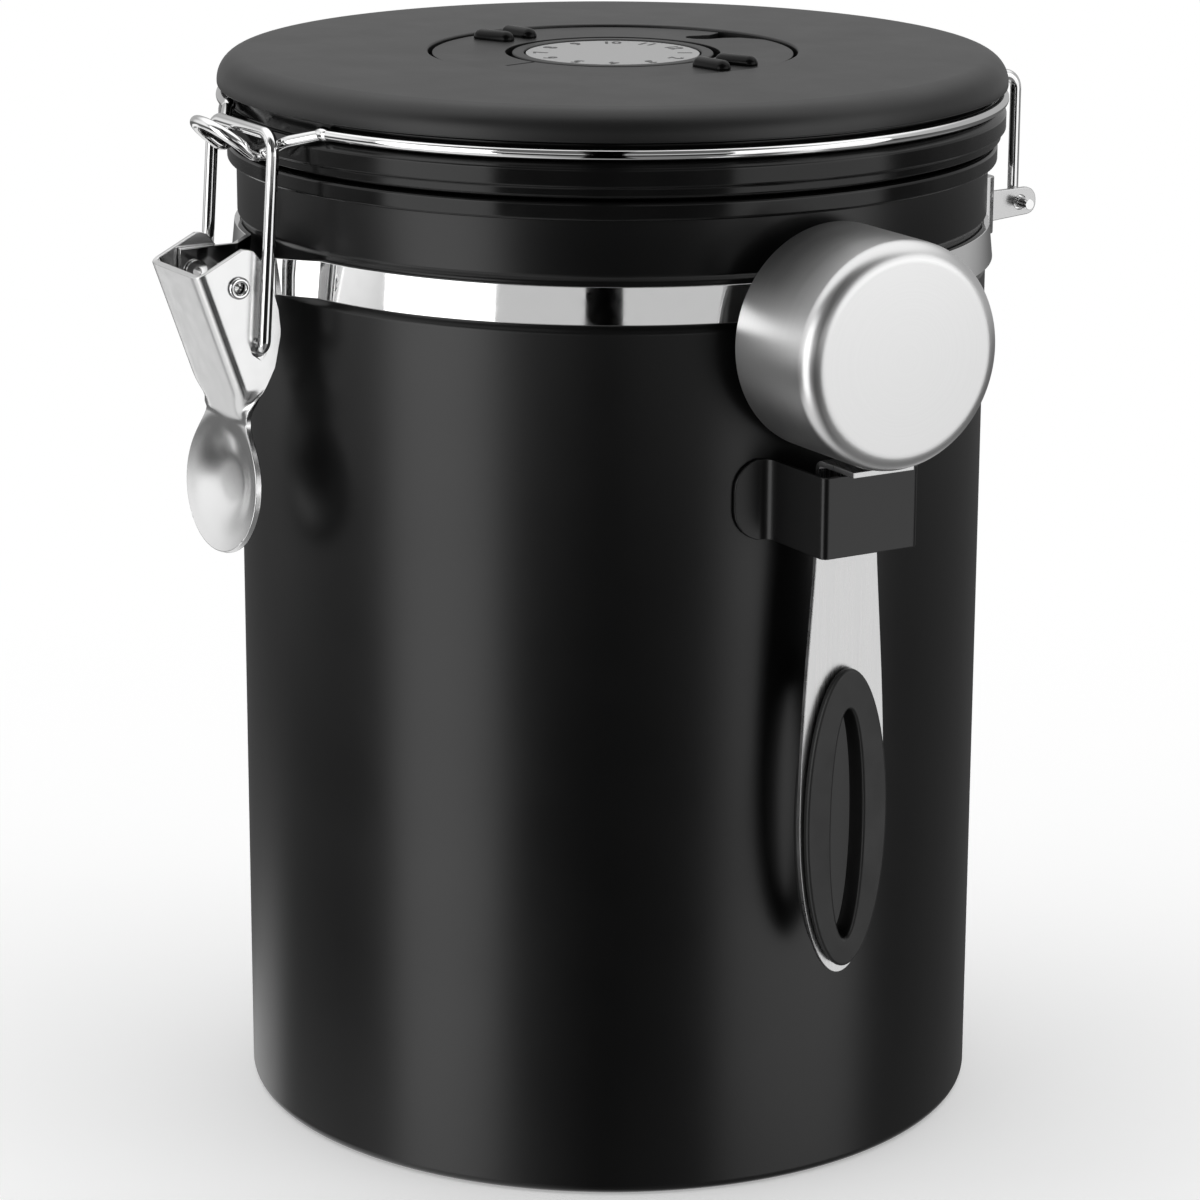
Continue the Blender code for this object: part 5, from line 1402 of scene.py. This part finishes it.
# %% Floor
FLOOR_RADIUS = 3.0
FLOOR_LIFT = 0.30
FADE_START = 0.09
FADE_END = 0.34
floor_bm = bmesh.new()
bmesh.ops.create_circle(floor_bm, cap_ends=True, radius=FLOOR_RADIUS, segments=96)
floor_mesh = bpy.data.meshes.new("studio_floor")
floor_bm.to_mesh(floor_mesh)
floor_bm.free()
white_floor = new_finish("white_floor", (0.8, 0.8, 0.8), 0.0, 0.6, specular=0.0)
nodes = white_floor.node_tree.nodes
links = white_floor.node_tree.links
shader = nodes["Principled BSDF"]
path = nodes.new("ShaderNodeLightPath")
lift = nodes.new("ShaderNodeMath")
lift.operation = "MULTIPLY"
lift.inputs[1].default_value = FLOOR_LIFT
shader.inputs["Emission Color"].default_value = (1.0, 1.0, 1.0, 1.0)
links.new(path.outputs["Is Camera Ray"], lift.inputs[0])
links.new(lift.outputs["Value"], shader.inputs["Emission Strength"])
place = nodes.new("ShaderNodeTexCoord")
radius = nodes.new("ShaderNodeVectorMath")
radius.operation = "LENGTH"
fade = nodes.new("ShaderNodeMapRange")
fade.interpolation_type = "SMOOTHSTEP"
fade.inputs["From Min"].default_value = FADE_START
fade.inputs["From Max"].default_value = FADE_END
seen = nodes.new("ShaderNodeMath")
seen.operation = "MULTIPLY"
plain_white = nodes.new("ShaderNodeEmission")
blend = nodes.new("ShaderNodeMixShader")
links.new(place.outputs["Object"], radius.inputs[0])
links.new(radius.outputs["Value"], fade.inputs["Value"])
links.new(fade.outputs["Result"], seen.inputs[0])
links.new(path.outputs["Is Camera Ray"], seen.inputs[1])
links.new(seen.outputs["Value"], blend.inputs["Fac"])
links.new(shader.outputs["BSDF"], blend.inputs[1])
links.new(plain_white.outputs["Emission"], blend.inputs[2])
links.new(blend.outputs["Shader"], nodes["Material Output"].inputs["Surface"])
floor_mesh.materials.append(white_floor)
floor = bpy.data.objects.new("studio_floor", floor_mesh)
bpy.context.scene.collection.objects.link(floor)
floor.visible_glossy = False
floor.visible_shadow = False

# %% [markdown]
# The world draws the studio that the steel and the gloss mirror. Above is a bright ceiling.
# Round about, the walls are pale above the horizon and dark below it, and behind the jar the
# horizon lies a little lower. High in front a dark zone keeps the top of the lid from greying.
# Far below glows the white table. A low card stands on the left, and a soft glow behind the
# latch. In front is one narrow dark gap between two screens, which the polished strap mirrors
# as a crisp black bar. Where the camera looks at the world, it is plain white.
#
# Each zone has an azimuth, a level and a pair of values between which it fades in. `towards`
# measures how far a direction points to an azimuth, and the height of a direction is its Z.

# %% Levels of the studio
CAMERA_AZIMUTH = math.radians(-31.0)
FRONT_FADE = (-0.5, 0.3)
UPPER_FRONT = 0.62
UPPER_BACK = 0.46
LOWER_FRONT = 0.02
LOWER_BACK = 0.13
CEILING_LEVEL = 1.3
CEILING_FADE = (0.35, 0.75)
HIGH_FRONT = 0.12
HIGH_FRONT_FADE = (0.15, 0.45)
HIGH_FRONT_RISE = (0.12, 0.28)
BACK_DROP = 0.08
BACK_DROP_FADE = (-0.4, 0.2)
HORIZON = (-0.09, -0.02)
TABLE_AZIMUTH = math.radians(-150.0)
TABLE_FRONT = 0.2
TABLE_BACK = 0.85
TABLE_FADE = (-0.3, 0.4)
TABLE_EDGE = (-0.56, -0.42)
CARD_AZIMUTH = math.pi
CARD_LEVEL = 1.05
CARD_SIDES = (0.84, 0.90)
CARD_TOP = (-0.385, -0.35)
GLOW_AZIMUTH = math.radians(-132.0)
LEFT_GLOW = 0.5
GLOW_FADE = (0.80, 0.97)
GLOW_RISE = (-0.30, 0.0)
GAP_AZIMUTH = math.radians(-33.1)
GAP_HALF = 0.094
GAP_FRONT = 0.3

# %% World nodes
world = bpy.data.worlds.new("studio")
bpy.context.scene.world = world
world.use_nodes = True
nodes = world.node_tree.nodes
links = world.node_tree.links
background = nodes["Background"]
sky = nodes.new("ShaderNodeTexCoord").outputs["Generated"]


def towards(azimuth, up=0.0):
    """How far a direction points towards an azimuth, and up."""
    dot = nodes.new("ShaderNodeVectorMath")
    dot.operation = "DOT_PRODUCT"
    dot.inputs[1].default_value = (math.cos(azimuth), math.sin(azimuth), up)
    links.new(sky, dot.inputs[0])
    return dot.outputs["Value"]


def height_of_view():
    parts = nodes.new("ShaderNodeSeparateXYZ")
    links.new(sky, parts.inputs["Vector"])
    return parts.outputs["Z"]


def ease(value, between, to_low=0.0, to_high=1.0):
    """Goes smoothly from one number to another while a value passes between two limits."""
    node = nodes.new("ShaderNodeMapRange")
    node.interpolation_type = "SMOOTHSTEP"
    node.inputs["From Min"].default_value = between[0]
    node.inputs["From Max"].default_value = between[1]
    node.inputs["To Min"].default_value = to_low
    node.inputs["To Max"].default_value = to_high
    links.new(value, node.inputs["Value"])
    return node.outputs["Result"]


def feed_sockets(sockets, values):
    """A number is set on its socket, and anything else is linked to it."""
    for socket, value in zip(sockets, values):
        if isinstance(value, float):
            socket.default_value = value
        else:
            links.new(value, socket)


def mix(factor, first, second):
    node = nodes.new("ShaderNodeMix")
    node.data_type = "FLOAT"
    feed_sockets([node.inputs[name] for name in ("Factor", "A", "B")], (factor, first, second))
    return node.outputs["Result"]


def combine_values(operation, first, second):
    node = nodes.new("ShaderNodeMath")
    node.operation = operation
    feed_sockets(node.inputs, (first, second))
    return node.outputs["Value"]


# %% [markdown]
# The zones are laid over each other from the walls inwards. `mix` covers what is below by a
# zone's own share, the glow is added, and the gap between the screens takes all light away.

# %% Zones of the world
up = height_of_view()
lower = ease(towards(CAMERA_AZIMUTH), FRONT_FADE, LOWER_BACK, LOWER_FRONT)
upper = ease(towards(CAMERA_AZIMUTH), FRONT_FADE, UPPER_BACK, UPPER_FRONT)
upper = mix(ease(up, CEILING_FADE), upper, CEILING_LEVEL)
high_front = combine_values("MULTIPLY", ease(towards(CAMERA_AZIMUTH), HIGH_FRONT_FADE),
                            ease(up, HIGH_FRONT_RISE))
upper = mix(high_front, upper, HIGH_FRONT)
horizon = combine_values("ADD", up, ease(towards(CAMERA_AZIMUTH), BACK_DROP_FADE, BACK_DROP, 0.0))
level = mix(ease(horizon, HORIZON), lower, upper)
table = ease(towards(TABLE_AZIMUTH), TABLE_FADE, TABLE_FRONT, TABLE_BACK)
level = mix(ease(up, TABLE_EDGE), table, level)
card = combine_values("MULTIPLY", ease(towards(CARD_AZIMUTH), CARD_SIDES),
                      ease(up, CARD_TOP, 1.0, 0.0))
level = mix(card, level, CARD_LEVEL)
glow = combine_values("MULTIPLY", ease(towards(GLOW_AZIMUTH), GLOW_FADE, 0.0, LEFT_GLOW),
                      ease(up, GLOW_RISE))
level = combine_values("ADD", level, glow)
aside = combine_values("ABSOLUTE", towards(GAP_AZIMUTH + math.pi / 2.0), 0.0)
screens = combine_values("MAXIMUM", combine_values("GREATER_THAN", aside, GAP_HALF),
                         combine_values("LESS_THAN", towards(GAP_AZIMUTH), GAP_FRONT))
level = combine_values("MULTIPLY", level, screens)
path = nodes.new("ShaderNodeLightPath")
links.new(mix(path.outputs["Is Camera Ray"], level, 1.0), background.inputs["Strength"])
background.inputs["Color"].default_value = (1.0, 1.0, 1.0, 1.0)

# %% [markdown]
# ## Lights
#
# Two tall softboxes stand beside the camera. Each draws one soft vertical stripe down the
# black jar, as in the photograph: a narrow one left of the middle and a wider one on the right.

# %% Softboxes
SOFTBOX_HEIGHT = 1.8
SOFTBOX_DISTANCE = 1.5
SOFTBOX_UP = 0.05


def softbox(name, azimuth, width, radiance):
    light = bpy.data.lights.new(name, "AREA")
    light.shape = "RECTANGLE"
    light.size = width
    light.size_y = SOFTBOX_HEIGHT
    light.energy = radiance * math.pi * light.size * light.size_y
    lamp = bpy.data.objects.new(name, light)
    turn = math.radians(azimuth)
    lamp.location = (SOFTBOX_DISTANCE * math.cos(turn), SOFTBOX_DISTANCE * math.sin(turn), SOFTBOX_UP)
    aim = Vector((0.0, 0.0, SOFTBOX_UP)) - lamp.location
    lamp.rotation_euler = aim.to_track_quat("-Z", "Y").to_euler()
    lamp.visible_camera = False
    bpy.context.scene.collection.objects.link(lamp)
    print(name, "power:", round(light.energy, 1), "W")


softbox("left_softbox", -82.0, 0.95, 1.75)
softbox("right_softbox", 28.0, 1.4, 1.12)

# %% [markdown]
# ## Camera
#
# The camera stands in front of the jar, between the latch and the scoop, and looks a little
# down at it through a long lens. It leans sideways by a quarter of a degree, and the lens is
# shifted slightly, as the photograph's framing asks.

# %% Camera
CAMERA_DISTANCE = 0.6757
CAMERA_UP = 0.2725
CAMERA_PITCH = math.radians(15.22)
CAMERA_ROLL = 0.00469
CAMERA_LENS = 122.7
CAMERA_SENSOR = 36.0
CAMERA_SHIFT = (-0.0086, -0.0275)
camera_data = bpy.data.cameras.new("camera")
camera_data.lens = CAMERA_LENS
camera_data.sensor_width = CAMERA_SENSOR
camera_data.shift_x, camera_data.shift_y = CAMERA_SHIFT
camera = bpy.data.objects.new("camera", camera_data)
away = Vector((math.cos(CAMERA_AZIMUTH), math.sin(CAMERA_AZIMUTH), 0.0))
level_right = Vector((-away.y, away.x, 0.0))
look = -away * math.cos(CAMERA_PITCH) - Z_AXIS * math.sin(CAMERA_PITCH)
level_up = level_right.cross(look)
right = (level_right + level_up * CAMERA_ROLL).normalized()
upward = (level_up - level_right * CAMERA_ROLL).normalized()
camera.matrix_world = Matrix.Translation(away * CAMERA_DISTANCE + Z_AXIS * CAMERA_UP) @ Matrix(
    (right, upward, -look)).transposed().to_4x4()
bpy.context.scene.collection.objects.link(camera)
bpy.context.scene.camera = camera
bpy.context.scene.view_settings.view_transform = "Standard"
